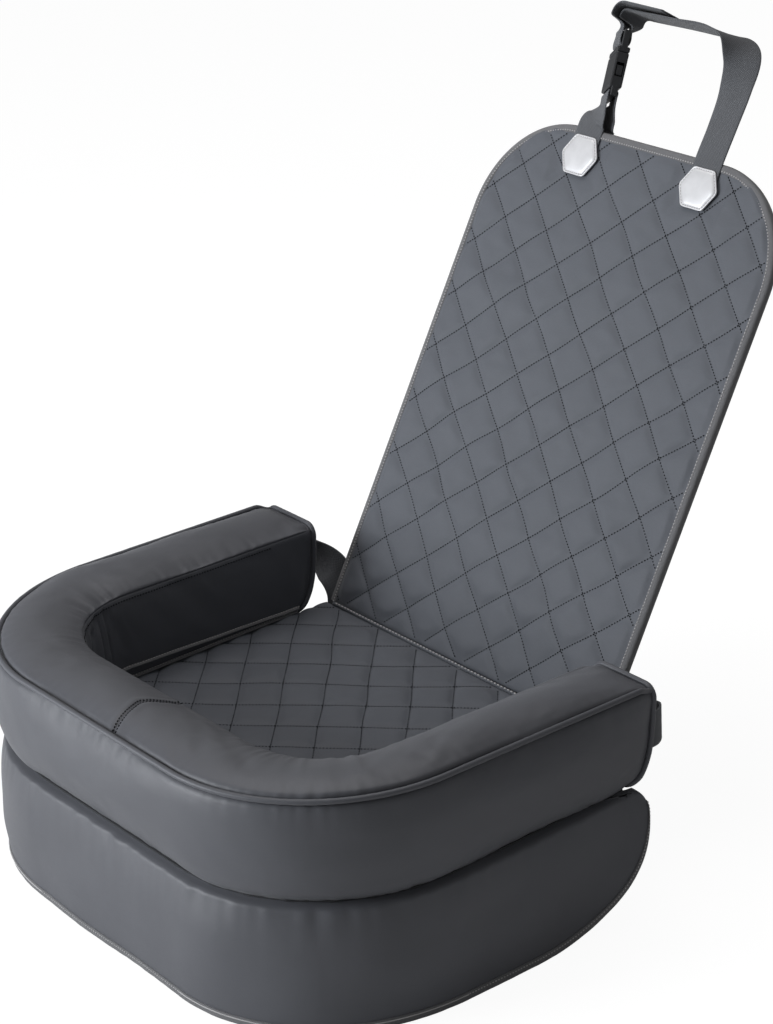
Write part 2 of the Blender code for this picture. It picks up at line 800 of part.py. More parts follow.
def spline_through(keys, steps):
    """Smooth places between keyed places, each a point and the direction of a width."""
    spans = [(after[0] - before[0]).length for before, after in zip(keys, keys[1:])]

    def slope(i, k):
        if i == 0:
            return (keys[1][k] - keys[0][k]) / spans[0]
        if i == len(keys) - 1:
            return (keys[i][k] - keys[i - 1][k]) / spans[-1]
        before = (keys[i][k] - keys[i - 1][k]) / spans[i - 1]
        after = (keys[i + 1][k] - keys[i][k]) / spans[i]
        return (before * spans[i] + after * spans[i - 1]) / (spans[i] + spans[i - 1])

    places = []
    for i, span in enumerate(spans):
        count = steps if span > WEBBING_THICKNESS * 3 else 1
        for step in range(count):
            share = step / count
            places.append([
                hermite(keys[i][k], keys[i + 1][k], slope(i, k) * span, slope(i + 1, k) * span, share)
                for k in (0, 1)
            ])
    places.append([keys[-1][0].copy(), keys[-1][1].copy()])
    return places


def hermite(start, end, leaving, arriving, share):
    square = share * share
    cube = square * share
    return (
        start * (2 * cube - 3 * square + 1)
        + leaving * (cube - 2 * square + share)
        + end * (3 * square - 2 * cube)
        + arriving * (cube - square)
    )


def webbing(name, keys, steps=3, width=WEBBING_WIDTH):
    """Flat webbing through keyed places, each a point and the direction of its width.

    Its first end is cut along the first width, the rest square to its run.
    """
    places = spline_through(keys, steps)
    rings = []
    for i, (point, across) in enumerate(places):
        before = places[max(i - 1, 0)][0]
        after = places[min(i + 1, len(places) - 1)][0]
        along = (after - before).normalized()
        if i > 0:
            across = (across - along * across.dot(along)).normalized()
        face = along.cross(across).normalized()
        half = across * width / 2
        thick = face * WEBBING_THICKNESS / 2
        rings.append([point - half - thick, point + half - thick, point + half + thick, point - half + thick])
    return loft(name, rings, "webbing", strip=True)


def block(low, high):
    """A box between two corners, as a mesh object outside every collection."""
    bm = bmesh.new()
    bmesh.ops.create_cube(bm, size=1.0)
    low = Vector(low)
    high = Vector(high)
    size = high - low
    bmesh.ops.scale(bm, vec=size, verts=bm.verts)
    bmesh.ops.translate(bm, vec=(low + high) / 2, verts=bm.verts)
    mesh = bpy.data.meshes.new("block")
    bm.to_mesh(mesh)
    bm.free()
    obj = bpy.data.objects.new("block", mesh)
    GROUPS["parts"].objects.link(obj)
    return obj


def round_edges(obj, width, segments=1):
    bevel = obj.modifiers.new("rounded edges", "BEVEL")
    bevel.width = width
    bevel.segments = segments
    bevel.limit_method = "ANGLE"
    return obj


def combine(name, body, tools, finish, matrix):
    """Join and cut a body with other blocks, apply it all, and place the result."""
    for kind, tool in tools:
        step = body.modifiers.new(kind.lower(), "BOOLEAN")
        step.operation = kind
        step.solver = "EXACT"
        step.object = tool
    bpy.context.view_layer.update()
    graph = bpy.context.evaluated_depsgraph_get()
    made = bpy.data.meshes.new_from_object(body.evaluated_get(graph))
    for obj in [body] + [tool for _, tool in tools]:
        bpy.data.objects.remove(obj, do_unlink=True)
    bm = bmesh.new()
    bm.from_mesh(made)
    bpy.data.meshes.remove(made)
    bmesh.ops.remove_doubles(bm, verts=bm.verts, dist=GAP / 10)
    bmesh.ops.transform(bm, matrix=matrix, verts=bm.verts)
    return add_mesh(name, bm, finish)


OVERRUN = 0.002
TAIL = BAR + SLOT
PLUG_START = SOCKET_LENGTH + GAP
PLUG_LENGTH = SHOULDER + 2 * (SLOT + BAR)
BUCKLE_LENGTH = PLUG_START + PLUG_LENGTH
INSERTED = SOCKET_LENGTH - WINDOW_TOP - WINDOW_LENGTH


def build_buckle(label, frame, body_parent, socket_parent, arm_parents):
    """A side-release buckle: a socket, a plug with an adjuster, and two latch arms.

    Its own frame has the socket's bar at the origin and +Z towards the plug.
    """
    wide = BUCKLE_WIDTH / 2
    thick = BUCKLE_THICKNESS / 2
    thin = BAR_THICKNESS / 2
    slot = SLOT_WIDTH / 2
    cavity = CAVITY_WIDTH / 2
    hollow = CAVITY_THICKNESS / 2
    mouth = SOCKET_LENGTH
    shell = round_edges(block((-wide, -thick, TAIL), (wide, thick, mouth)), BUCKLE_BEVEL, 2)
    tail = round_edges(block((-wide, -thin, 0), (wide, thin, TAIL + OVERRUN)), BUCKLE_BEVEL / 2)
    window_high = mouth - WINDOW_TOP
    window_low = window_high - WINDOW_LENGTH
    socket = combine(
        f"{label}_socket", shell,
        [
            ("UNION", tail),
            ("DIFFERENCE", block((-slot, -wide, BAR), (slot, wide, TAIL))),
            ("DIFFERENCE", block((-cavity, -hollow, mouth - CAVITY_DEPTH), (cavity, hollow, mouth + OVERRUN))),
            ("DIFFERENCE", block((-wide - OVERRUN, -hollow, window_low), (wide + OVERRUN, hollow, window_high))),
        ],
        "plastic", frame,
    )
    hang_on(socket, socket_parent)

    top = PLUG_START + PLUG_LENGTH
    first = PLUG_START + SHOULDER
    second = first + SLOT + BAR
    base = round_edges(block((-wide, -thick, PLUG_START), (wide, thick, first)), BUCKLE_BEVEL, 2)
    ladder = round_edges(block((-wide, -thin, first - OVERRUN), (wide, thin, top)), BUCKLE_BEVEL / 2)
    tongue_wide = TONGUE_WIDTH / 2
    tongue_thick = TONGUE_THICKNESS / 2
    tongue = block(
        (-tongue_wide, -tongue_thick, PLUG_START - TONGUE_LENGTH),
        (tongue_wide, tongue_thick, PLUG_START + SHOULDER / 2),
    )
    plug = combine(
        f"{label}_plug", base,
        [
            ("UNION", ladder),
            ("UNION", tongue),
            ("DIFFERENCE", block((-slot, -wide, first), (slot, wide, first + SLOT))),
            ("DIFFERENCE", block((-slot, -wide, second), (slot, wide, second + SLOT))),
        ],
        "plastic", frame,
    )
    hang_on(plug, body_parent)

    for side, sign in SIDES.items():
        pad_low = window_low + GAP * 2
        pad_high = pad_low + PAD_LENGTH
        root = PLUG_START - GAP
        half = ARM_WIDTH / 2
        outline = [
            (ARM_ROOT - half, root), (ARM_ROOT - half, root - SHOULDER),
            (cavity - ARM_WIDTH - half, pad_high), (cavity - ARM_WIDTH - half, pad_low),
            (wide - OVERRUN, pad_low), (wide, pad_low + OVERRUN),
            (wide, pad_high - OVERRUN), (cavity - GAP * 2, pad_high),
            (ARM_ROOT + half, root - SHOULDER), (ARM_ROOT + half, root),
        ]
        flat = [(sign * x, z) for x, z in outline]
        arm = extrude_outline(
            f"{label}_latch_{side}", flat, ARM_THICKNESS, "plastic",
            frame @ Matrix.Rotation(math.radians(90), 4, "X"),
        )
        hang_on(arm, arm_parents[side])


def bar_wrap(frame, edge, toward, reach):
    """Keyed places of webbing round a bar: along one face, round its edge, along the other.

    The edge is a height in the buckle's frame, and the webbing passes it on the side
    that toward gives, 1 for up and -1 for down.
    """
    thin = BAR_THICKNESS / 2
    stand = WEBBING_THICKNESS / 2 + GAP
    turn = stand * math.sin(math.radians(45))
    width = frame.to_3x3() @ Vector((1, 0, 0))
    half = [
        (thin + stand, edge - toward * (reach + BAR)),
        (thin + stand, edge - toward * reach), (thin + stand, edge),
        (thin + turn, edge + toward * turn), (thin, edge + toward * stand),
    ]
    shape = half + [(-y, z) for y, z in reversed(half)]
    return [(frame @ Vector((0, y, z)), width) for y, z in shape]


BEND_SIDE_SHARE = 1.068
BEND_RADIUS = 0.006
BEND_SHIFT = 0.0037
TAIL_STAND = 0.0058
BEND_STRAIGHT = 0.003
BACK_LAYER_INSET = 0.005
STRAP_FLAT_RISE = 0.004


def headrest_frame():
    """The headrest buckle's frame in the backrest's frame."""
    bottom = Vector((
        -HEADREST_BUCKLE_SIDE, (FRONT_FACE + BACK_FACE) / 2, BACKREST_LENGTH + HEADREST_BUCKLE_RISE
    ))
    return (
        Matrix.Translation(bottom)
        @ Matrix.Rotation(math.radians(-HEADREST_BUCKLE_LEAN_DEG), 4, "Y")
        @ Matrix.Rotation(math.radians(HEADREST_BUCKLE_TWIST_DEG), 4, "Z")
    )


def build_headrest_straps(frame, hinge):
    """The short doubled strap to the socket, and the long strap over to the plug."""
    across = Vector((1, 0, 0))
    edge = BACKREST_LENGTH
    back_y = BACK_FACE + GAP + TAPE_THICKNESS + GAP + WEBBING_THICKNESS / 2
    twisted = frame.to_3x3() @ across
    left_x = -STRAP_SPREAD
    back_x = BACK_LAYER_INSET - STRAP_SPREAD
    wrap = bar_wrap(frame, BAR, 1, BAR)
    wrap.reverse()
    halfway = (across + twisted).normalized()
    mid_z = edge + HEADREST_BUCKLE_RISE * 0.45
    mid_x = -(STRAP_SPREAD + HEADREST_BUCKLE_SIDE) / 2
    keys = [
        (Vector((left_x, STRAP_FRONT, edge - STRAP_TUCK)), across),
        (Vector((left_x, STRAP_FRONT, edge)), across),
        (Vector((left_x, STRAP_FRONT, edge + STRAP_FLAT_RISE)), across),
        (Vector((mid_x, STRAP_FRONT, mid_z)), halfway),
    ] + wrap + [
        (Vector((mid_x + BACK_LAYER_INSET, back_y, mid_z)), halfway),
        (Vector((back_x, back_y, edge + STRAP_FLAT_RISE)), across),
        (Vector((back_x, back_y, edge)), across),
        (Vector((back_x, back_y, edge - STRAP_TUCK * 0.8)), across),
    ]
    hang_on(webbing("headrest_short_strap", keys), hinge)

    deep = (FRONT_FACE + BACK_FACE) / 2
    rear = Vector((0, 1, 0))
    top = edge + LOOP_RISE
    ladder = PLUG_START + SHOULDER + SLOT
    reach = BUCKLE_LENGTH - ladder
    spread = STRAP_SPREAD

    def over_bend(lift, shift):
        """Places over the corner above the plug, from the top run down."""
        radius = BEND_RADIUS + lift
        centre = Vector((BEND_RADIUS - spread * BEND_SIDE_SHARE, deep + shift, top - BEND_RADIUS))
        run = [(BEND_RADIUS, radius)] + arc(0.0, 0.0, radius, 90, 180, 3)
        run.append((-radius, -BEND_STRAIGHT))
        return [(centre + Vector((x, 0, z)), rear) for x, z in run]

    round_plug = [
        (point, -width) for point, width in bar_wrap(frame, ladder, -1, reach)
    ]
    long_keys = [
        (Vector((spread, STRAP_FRONT, edge - STRAP_TUCK)), across),
        (Vector((spread, STRAP_FRONT, edge)), across),
        (Vector((spread, STRAP_FRONT, edge + WEBBING_THICKNESS)), across),
        (Vector((spread * 0.99, deep * 0.5, edge + LOOP_RISE * 0.28)), across),
        (Vector((spread * 0.95, deep, edge + LOOP_RISE * 0.60)), Vector((1, 0.15, 0))),
        (Vector((spread * 0.86, deep, edge + LOOP_RISE * 0.86)), Vector((0.85, 0.6, 0.2))),
        (Vector((spread * 0.66, deep, edge + LOOP_RISE * 0.98)), Vector((0.3, 0.95, 0.2))),
        (Vector((spread * 0.40, deep, top)), rear),
        (Vector((-spread * 0.20, deep, top)), rear),
    ] + over_bend(0.0, BEND_SHIFT) + round_plug + list(reversed(over_bend(TAIL_STAND, -BEND_SHIFT))) + [
        (Vector((-spread * 0.70, deep - BEND_SHIFT * 0.6, top + TAIL_STAND)), rear),
        (Vector((-spread * 0.42, deep, top + TAIL_STAND)), rear),
    ]
    hang_on(webbing("headrest_long_strap", long_keys, steps=4), hinge)


def belt_frame():
    """The belt buckle's frame: its long axis along X, centred behind the seat."""
    place_at = Vector((BUCKLE_LENGTH / 2, HALF_DEPTH + BELT_BUCKLE_BACK, BELT_LOW))
    turn = Matrix.Rotation(math.radians(-90), 4, "Y")
    return Matrix.Translation(place_at) @ turn


def build_belts(frame, root):
    """Webbing from each arm's end panel, round behind it and down to the buckle."""
    up = Vector((0, 0, 1))
    deep = Vector((0, 1, 0))
    exit_z = BOLSTER_BOTTOM + BELT_EXIT_HEIGHT
    face = leaning(Vector((0, HALF_DEPTH, exit_z))).y + SKIN / 2 + GAP
    low_face = leaning(Vector((0, HALF_DEPTH, exit_z - WEBBING_WIDTH / 2))).y
    high_face = leaning(Vector((0, HALF_DEPTH, exit_z + WEBBING_WIDTH / 2))).y
    along_face = Vector((0, high_face - low_face, WEBBING_WIDTH)).normalized()
    far = HALF_DEPTH + BELT_STANDOFF
    low_y = HALF_DEPTH + BELT_BUCKLE_BACK
    side_x = HALF_WIDTH - BELT_EXIT_INSET
    drop_x = INNER_HALF + BELT_DROP_OUTSET
    shared = [
        (Vector((side_x, face, exit_z)), along_face),
        (Vector((side_x + BELT_TURN * 0.2, far - BELT_TURN * 1.5, exit_z)), up),
        (Vector((side_x - BELT_TURN * 0.8, far, exit_z)), up),
        (Vector((side_x - BELT_TURN * 3.5, far, exit_z - BELT_TURN * 0.3)), up),
        (Vector((drop_x + BELT_TURN * 0.9, far + BELT_TURN * 0.5, exit_z - BELT_TURN * 2)), up + deep * 0.9),
        (Vector((drop_x, far + BELT_TURN, exit_z - BELT_TURN * 5)), deep + up * 0.15),
        (Vector((drop_x, far + BELT_TURN, (exit_z + BELT_LOW) / 2 - BELT_TURN)), deep),
        (Vector((drop_x - BELT_TURN * 2, low_y, BELT_LOW + BELT_TURN * 1.2)), deep),
        (Vector((drop_x - BELT_TURN * 6, low_y, BELT_LOW)), (deep + up * 0.2)),
        (Vector((drop_x - BELT_TURN * 13, low_y, BELT_LOW)), (deep * 0.6 + up)),
    ]
    right_end = bar_wrap(frame, BAR, 1, BAR * 4)
    ladder = PLUG_START + SHOULDER + SLOT
    left_end = bar_wrap(frame, ladder, -1, BUCKLE_LENGTH - ladder + BAR * 3)
    hang_on(webbing("belt_strap_right", shared + right_end), root)
    mirrored = [(Vector((-p.x, p.y, p.z)), Vector((-w.x, w.y, w.z))) for p, w in shared]
    hang_on(webbing("belt_strap_left", mirrored + left_end), root)


def build_fold_seam(root):
    """The sewn roll along which the backrest folds."""
    bm = bmesh.new()
    length = 2 * (BACKREST_HALF - BORDER)
    bmesh.ops.create_cone(
        bm, cap_ends=True, segments=10, radius1=FOLD_RADIUS, radius2=FOLD_RADIUS, depth=length
    )
    turn = Matrix.Translation((0, HINGE_Y, HINGE_Z)) @ Matrix.Rotation(math.radians(90), 4, "Y")
    bmesh.ops.transform(bm, matrix=turn, verts=bm.verts)
    hang_on(smooth(add_mesh("fold_seam", bm, "binding")), root)


def empty(name, matrix, parent):
    """An empty that marks a joint's place and direction."""
    marker = bpy.data.objects.new(name, None)
    GROUPS["parts"].objects.link(marker)
    marker.parent = parent
    marker.matrix_basis = matrix
    marker.empty_display_size = PATCH_WIDTH
    return marker


def latch_places(frame):
    """Where each latch arm bends, in the buckle's parent's frame."""
    return {
        side: frame @ Matrix.Translation((sign * ARM_ROOT, 0, PLUG_START))
        for side, sign in SIDES.items()
    }


def centre_on_origin(root):
    """Stand the finished seat with the middle of its box over the origin."""
    bpy.context.view_layer.update()
    graph = bpy.context.evaluated_depsgraph_get()
    low = math.inf
    high = -math.inf
    for obj in GROUPS["parts"].objects:
        if obj.type == "EMPTY":
            continue
        mesh = obj.evaluated_get(graph).to_mesh()
        for vert in mesh.vertices:
            y = (obj.matrix_world @ vert.co).y
            low = min(low, y)
            high = max(high, y)
        obj.evaluated_get(graph).to_mesh_clear()
    root.location.y = -(low + high) / 2
    bpy.context.view_layer.update()


def finish_maker(label, colour, roughness):
    def make(name):
        return material(f"{label}_{name}", colour, roughness)

    return make


FINISHES = {
    "leather": finish_maker("leather", (0.075, 0.078, 0.085), 0.45),
    "quilt": finish_maker("quilt", (0.085, 0.090, 0.102), 0.6),
    "binding": finish_maker("binding", (0.110, 0.105, 0.108), 0.8),
    "webbing": finish_maker("webbing", (0.085, 0.088, 0.095), 0.85),
    "plastic": finish_maker("plastic", (0.045, 0.047, 0.050), 0.4),
    "patch": finish_maker("patch", (0.62, 0.62, 0.63), 0.5),
    "foam": finish_maker("foam", (0.70, 0.68, 0.62), 0.9),
    "wadding": finish_maker("wadding", (0.80, 0.80, 0.80), 0.95),
    "backing": finish_maker("backing", (0.045, 0.046, 0.050), 0.85),
    "base": finish_maker("base", (0.035, 0.036, 0.040), 0.9),
}
GROUPS = {}


def main():
    clear_scene()
    GROUPS["parts"] = collection(COLLECTION)
    GROUPS["cutters"] = collection(CUTTERS)
    root = empty("seat_origin", Matrix(), None)
    build_base()
    build_bolster()
    build_pad()
    build_skirt()
    build_fold_seam(root)
    for obj in list(GROUPS["parts"].objects):
        if obj is not root and obj.parent is None:
            hang_on(obj, root)

    hinge_place = Matrix.Translation((0, HINGE_Y, HINGE_Z)) @ Matrix.Rotation(
        math.radians(-RECLINE_DEG), 4, "X"
    )
    hinge = empty("backrest_hinge", hinge_place, root)
    build_backrest(hinge)
    for label, frame, parent in (("headrest", headrest_frame(), hinge), ("belt", belt_frame(), root)):
        slide = empty(f"{label}_release_axis", frame, parent)
        pivots = {
            side: empty(f"{label}_latch_pivot_{side}", place_at, parent)
            for side, place_at in latch_places(frame).items()
        }
        into = {side: pivot.matrix_basis.inverted() @ frame for side, pivot in pivots.items()}
        build_buckle(label, Matrix(), slide, slide, {side: slide for side in SIDES})
        for side, pivot in pivots.items():
            arm = bpy.data.objects[f"{label}_latch_{side}"]
            arm.data.transform(into[side])
            arm.parent = pivot
    build_headrest_straps(headrest_frame(), hinge)
    build_belts(belt_frame(), root)
    centre_on_origin(root)
    for marker in GROUPS["parts"].objects:
        if marker.type == "EMPTY":
            where = marker.matrix_world
            print(marker.name, [round(v, 6) for v in where.translation], [round(v, 6) for v in where.col[2][:3]])


main()
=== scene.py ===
"""Dresses the dog car seat's solids: stuffed cover, quilting, webbing, tape and stitching,
with a pale studio round them. Metres, +Z up, the seat's front at -Y."""

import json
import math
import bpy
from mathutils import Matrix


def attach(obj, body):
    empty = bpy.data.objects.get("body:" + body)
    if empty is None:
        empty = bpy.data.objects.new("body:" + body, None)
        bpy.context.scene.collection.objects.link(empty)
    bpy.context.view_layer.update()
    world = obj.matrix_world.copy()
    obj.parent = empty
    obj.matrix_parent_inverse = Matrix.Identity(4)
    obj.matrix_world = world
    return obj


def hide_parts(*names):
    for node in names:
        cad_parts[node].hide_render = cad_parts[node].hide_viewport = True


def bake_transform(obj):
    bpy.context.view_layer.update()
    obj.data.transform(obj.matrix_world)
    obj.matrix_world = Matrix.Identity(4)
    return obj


bl_info = {
    "name": "Dog car seat",
    "version": (1, 0, 0),
    "blender": (4, 5, 0),
    "location": "View3D > Sidebar > Dog seat",
    "description": "Covers, quilting, webbing and stitching for a dog car seat, and its studio",
    "category": "Object",
}

import bmesh
import bpy
import numpy as np
from bpy.props import FloatProperty, FloatVectorProperty, PointerProperty
from mathutils import Matrix, Vector, noise

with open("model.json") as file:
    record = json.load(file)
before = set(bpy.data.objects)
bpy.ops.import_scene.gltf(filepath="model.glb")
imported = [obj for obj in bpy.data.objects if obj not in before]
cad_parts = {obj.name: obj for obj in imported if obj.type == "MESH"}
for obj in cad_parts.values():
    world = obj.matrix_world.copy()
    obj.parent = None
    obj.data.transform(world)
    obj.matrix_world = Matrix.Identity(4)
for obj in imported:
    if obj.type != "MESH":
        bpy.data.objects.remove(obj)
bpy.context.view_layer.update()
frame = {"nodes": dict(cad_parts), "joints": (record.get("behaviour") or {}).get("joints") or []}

# Sizes of the solids, in the seat's own frame: its bolster's middle is at y = 0
HALF_WIDTH = 0.300
HALF_DEPTH = 0.215
BOLSTER_BOTTOM = 0.128
BOLSTER_HEIGHT = 0.108
ARM_THICKNESS = 0.082
FRONT_THICKNESS = 0.088
OUTER_CORNER = 0.180
ARM_DROP = 0.006
OUTER_BULGE = 0.0075
INNER_BULGE = 0.0035
CROWN = 0.0125
INNER_EDGE_DROP = 0.005
PIPING_RADIUS = 0.0028
SEAM_REACH = 0.0031
END_BULGE_SHARE = 0.3
END_LEAN = 0.009
END_TUCK = 0.026
END_REACH = 0.110
END_TUCK_POWER = 6
END_CORNER = 0.012
INNER_HALF = 0.218
HINGE_BACK = 0.2225
HINGE_Z = 0.1373
PAD_TOP = 0.1355
PAD_CLEARANCE = 0.0012
LIP_SETBACK = 0.022
LIP_WIDTH = 0.0045
SKIRT_THICKNESS = 0.003
SEAM_TUCK = 0.0105
SHOULDER_RISE = 0.0020
SKIRT_FLARE = 0.0085
SKIRT_BULGE = 0.006
SKIRT_REAR = 0.197
SKIRT_FLAT_END = 0.050
SKIRT_END_HEIGHT = 0.020
SKIRT_END_PULL = 0.009
RECLINE = math.radians(30.0)
BACKREST_HALF = 0.2145
BACKREST_LENGTH = 0.568
BACKREST_CORNER = 0.110
COVER_FRONT = 0.0018
BACK_FACE = 0.0088
STRAP_FRONT = 0.0006
STRAP_BACK = 0.0113
STRAP_SPREAD = 0.086
STRAP_TUCK = 0.040
PATCH_BELOW_EDGE = 0.030
LOOP_RISE = 0.127
BEND_SIDE_SHARE = 1.068
BEND_RADIUS = 0.006
BEND_SHIFT = 0.0037
BEND_STRAIGHT = 0.003
TAIL_STAND = 0.0058
BACK_LAYER_INSET = 0.005
STRAP_FLAT_RISE = 0.004
WEBBING_WIDTH = 0.038
WEBBING_THICKNESS = 0.0018
GAP = 0.0003

# The side-release buckles, as the solids have them
BAR = 0.0044
BAR_THICKNESS = 0.0070
SOCKET_LENGTH = 0.046
SHOULDER = 0.006
PLUG_START = SOCKET_LENGTH + GAP
BUCKLE_LENGTH = PLUG_START + SHOULDER + 4 * BAR
LADDER = PLUG_START + SHOULDER + BAR
HEADREST_BUCKLE_RISE = 0.0345
HEADREST_BUCKLE_SIDE = 0.080
HEADREST_BUCKLE_LEAN = math.radians(10.0)
HEADREST_BUCKLE_TWIST = math.radians(-38.0)
BELT_EXIT_INSET = 0.015
BELT_EXIT_HEIGHT = 0.046
BELT_STANDOFF = 0.027
BELT_TURN = 0.007
BELT_DROP_OUTSET = 0.0085
BELT_LOW = 0.072
BELT_BUCKLE_BACK = 0.036
EDGE_BEVEL = 0.0004

# Seams and stitches
SEAM_PITCH = 0.0034
SEAM_STITCH = 0.0022
JOINT_STITCH_HALF = 0.0024
JOINT_SEAM = ((-0.222, 0.028), (-0.168, 0.007), (-0.146, 0.013), (-0.127, 0.014))
EDGE_STITCH_CLEAR = 30
STITCH_SHARE = 0.56
THREAD_SIDES = 6
STITCH_SECTIONS = (
    (-0.5, -1.4, 0.35), (-0.36, 0.1, 0.85), (0.0, 0.55, 1.0), (0.36, 0.1, 0.85), (0.5, -1.4, 0.35),
)
END_BLEND = 0.018
END_DRAW = 0.0022
COVER_INSET = 0.0025
VALLEY_WIDTH = 0.0055
VALLEY_POWER = 1.3
FOLD_FADE = 0.018

# How closely the covers are divided, and how far the bolster's panels may swell
BOLSTER_STATIONS = 281
PAD_COLUMNS = 211
BACKREST_COLUMNS = 201
BACKING_COLUMNS = 121
SKIRT_ROWS = 36
OUTER_SWELL = 0.006
INNER_SWELL = 0.0004

# The photograph's camera, placed in the seat's own frame, with its focal length in pixels
CAMERA_TURN = 0.908487
CAMERA_CLIMB = 0.422193
CAMERA_ROLL = -0.057469
CAMERA_PLACE = (1.9417, -1.3719, 1.4432)
CAMERA_FOCAL = 2739.5
PHOTO_HEIGHT = 1024

JOINTS = {joint["name"]: joint for joint in frame["joints"]}
MIDDLE_Y = JOINTS["backrest_fold"]["pos_m"][1] - HINGE_BACK
SEAT = Matrix.Translation((0, MIDDLE_Y, 0))
BACKREST = SEAT @ Matrix.Translation((0, HINGE_BACK, HINGE_Z)) @ Matrix.Rotation(-RECLINE, 4, "X")
SIDES = {"left": -1, "right": 1}


def metres(name, description, default, least=0.0):
    return FloatProperty(
        name=name, description=description, default=default, min=least, unit="LENGTH",
    )


class SeatSizes(bpy.types.PropertyGroup):
    """Sizes of the soft work that can be changed without touching the solids"""

    quilt_across: metres("Quilt width", "Width of one quilted diamond", 0.065, 0.02)
    quilt_along: metres("Quilt length", "Length of one quilted diamond", 0.0605, 0.02)
    quilt_puff: metres(
        "Quilt puff", "How far a quilted diamond stands over its stitch lines", 0.0030,
    )
    tape_width: metres("Tape width", "Width of the binding tape on each face", 0.009, 0.003)
    stitch_pitch: metres("Stitch pitch", "Distance from one stitch to the next", 0.0034, 0.001)
    thread_radius: metres("Thread radius", "Radius of the sewing thread", 0.00060, 0.0001)
    skirt_wave: metres("Skirt wave", "Height of the skirt's soft folds at its hem", 0.0060)
    patch_width: metres("Patch width", "Width of the six-sided patches", 0.053, 0.02)
    patch_height: metres("Patch height", "Height of the six-sided patches", 0.042, 0.02)


def colour(name, description, default):
    return FloatVectorProperty(
        name=name, description=description, subtype="COLOR", size=3, min=0.0, max=1.0,
        default=default,
    )


class SeatColours(bpy.types.PropertyGroup):
    """Colours of the seat's cloths, plastics and threads"""

    leather: colour("Faux leather", "Colour of the bolster and the skirt", (0.080, 0.083, 0.094))
    quilt: colour("Quilted cloth", "Colour of the seat pad and the backrest", (0.092, 0.099, 0.114))
    tape: colour("Binding tape", "Colour of the woven binding tape", (0.142, 0.142, 0.147))
    webbing: colour("Webbing", "Colour of the woven straps", (0.090, 0.094, 0.102))
    plastic: colour("Buckle plastic", "Colour of the moulded buckles", (0.020, 0.021, 0.023))
    patch: colour("Patches", "Colour of the two silvery patches", (0.62, 0.62, 0.63))
    # Partly the thread's own colour, partly painted shade: the quilting thread is drawn near black
    # so its stitches also stand in for the shade in the stitch holes.
    thread_and_hole_shade: colour("Dark thread", "Colour of the quilting thread", (0.009, 0.010, 0.012))
    light_thread: colour("Light thread", "Colour of the thread on the tape", (0.46, 0.45, 0.45))
    backing: colour("Backing", "Colour of the cloth behind and beneath", (0.030, 0.031, 0.034))
    floor: colour("Floor", "Colour of the studio floor", (0.80, 0.80, 0.80))


# Shader expressions


class Signal:
    """A node's output that Python expressions combine with numbers and each other."""

    def __init__(self, tree, socket):
        self.tree = tree
        self.socket = socket

    def maths(self, operation, *values):
        node = self.tree.nodes.new("ShaderNodeMath")
        node.operation = operation
        for place, value in zip(node.inputs, values):
            if isinstance(value, Signal):
                self.tree.links.new(value.socket, place)
            else:
                place.default_value = value
        return Signal(self.tree, node.outputs[0])

    def __add__(self, other):
        return self.maths("ADD", self, other)

    __radd__ = __add__

    def __mul__(self, other):
        return self.maths("MULTIPLY", self, other)

    def __pow__(self, other):
        return self.maths("POWER", self, other)

    def sine(self):
        return self.maths("SINE", self)

    def at_most(self, other):
        return self.maths("MINIMUM", self, other)


class Finish:
    """One procedural material, built from expressions."""

    def __init__(self, name, **constants):
        self.material = bpy.data.materials.new(name)
        self.material.use_nodes = True
        self.tree = self.material.node_tree
        self.shader = self.tree.nodes["Principled BSDF"]
        for key, value in constants.items():
            self.shader.inputs[key.replace("_", " ")].default_value = value

    def node(self, kind, settings=None, inputs=None, output=0):
        """Any node: its settings first, then the values or links of its sockets."""
        node = self.tree.nodes.new(kind)
        for key, value in (settings or {}).items():
            setattr(node, key, value)
        for key, value in (inputs or {}).items():
            if isinstance(value, Signal):
                self.tree.links.new(value.socket, node.inputs[key])
            else:
                node.inputs[key].default_value = value
        return Signal(self.tree, node.outputs[output])

    def place(self):
        """Where a point lies on the seat."""
        return self.node("ShaderNodeTexCoord", output="Object")

    def flat(self):
        """Where a point lies on its piece laid flat, then how far along it and across it."""
        where = self.node("ShaderNodeAttribute", {"attribute_name": "flat"}, output="Vector")
        along = self.node("ShaderNodeSeparateXYZ", inputs={"Vector": where})
        return where, along, Signal(self.tree, along.socket.node.outputs["Y"])

    def noise(self, where, scale, detail=2.0, roughness=0.5):
        return self.node(
            "ShaderNodeTexNoise",
            inputs={"Vector": where, "Scale": scale, "Detail": detail, "Roughness": roughness},
            output="Fac",
        )

    def cells(self, where, scale):
        """The distance to the nearest edge of pebble-like cells."""
        return self.node(
            "ShaderNodeTexVoronoi", {"feature": "DISTANCE_TO_EDGE"},
            {"Vector": where, "Scale": scale}, output="Distance",
        )

    def stretched(self, where, scale):
        return self.node("ShaderNodeVectorMath", {"operation": "MULTIPLY"}, {0: where, 1: scale})

    def mix(self, share, first, second):
        """A colour between two, each given as red, green and blue."""
        values = {"Factor": share, 6: (*first, 1.0), 7: (*second, 1.0)}
        return self.node("ShaderNodeMix", {"data_type": "RGBA"}, values, output=2)

    def feed(self, socket, signal):
        self.tree.links.new(signal.socket, self.shader.inputs[socket])

    def tint(self, share, rgb, low, high):
        """The base colour, from a darker to a lighter shade of one colour."""
        self.feed("Base Color", self.mix(share, shade(rgb, low), shade(rgb, high)))

    def bump(self, height, distance, strength=1.0):
        self.feed("Normal", self.node(
            "ShaderNodeBump", inputs={"Height": height, "Distance": distance, "Strength": strength},
        ))


def shade(rgb, factor):
    return tuple(min(1.0, value * factor) for value in rgb)


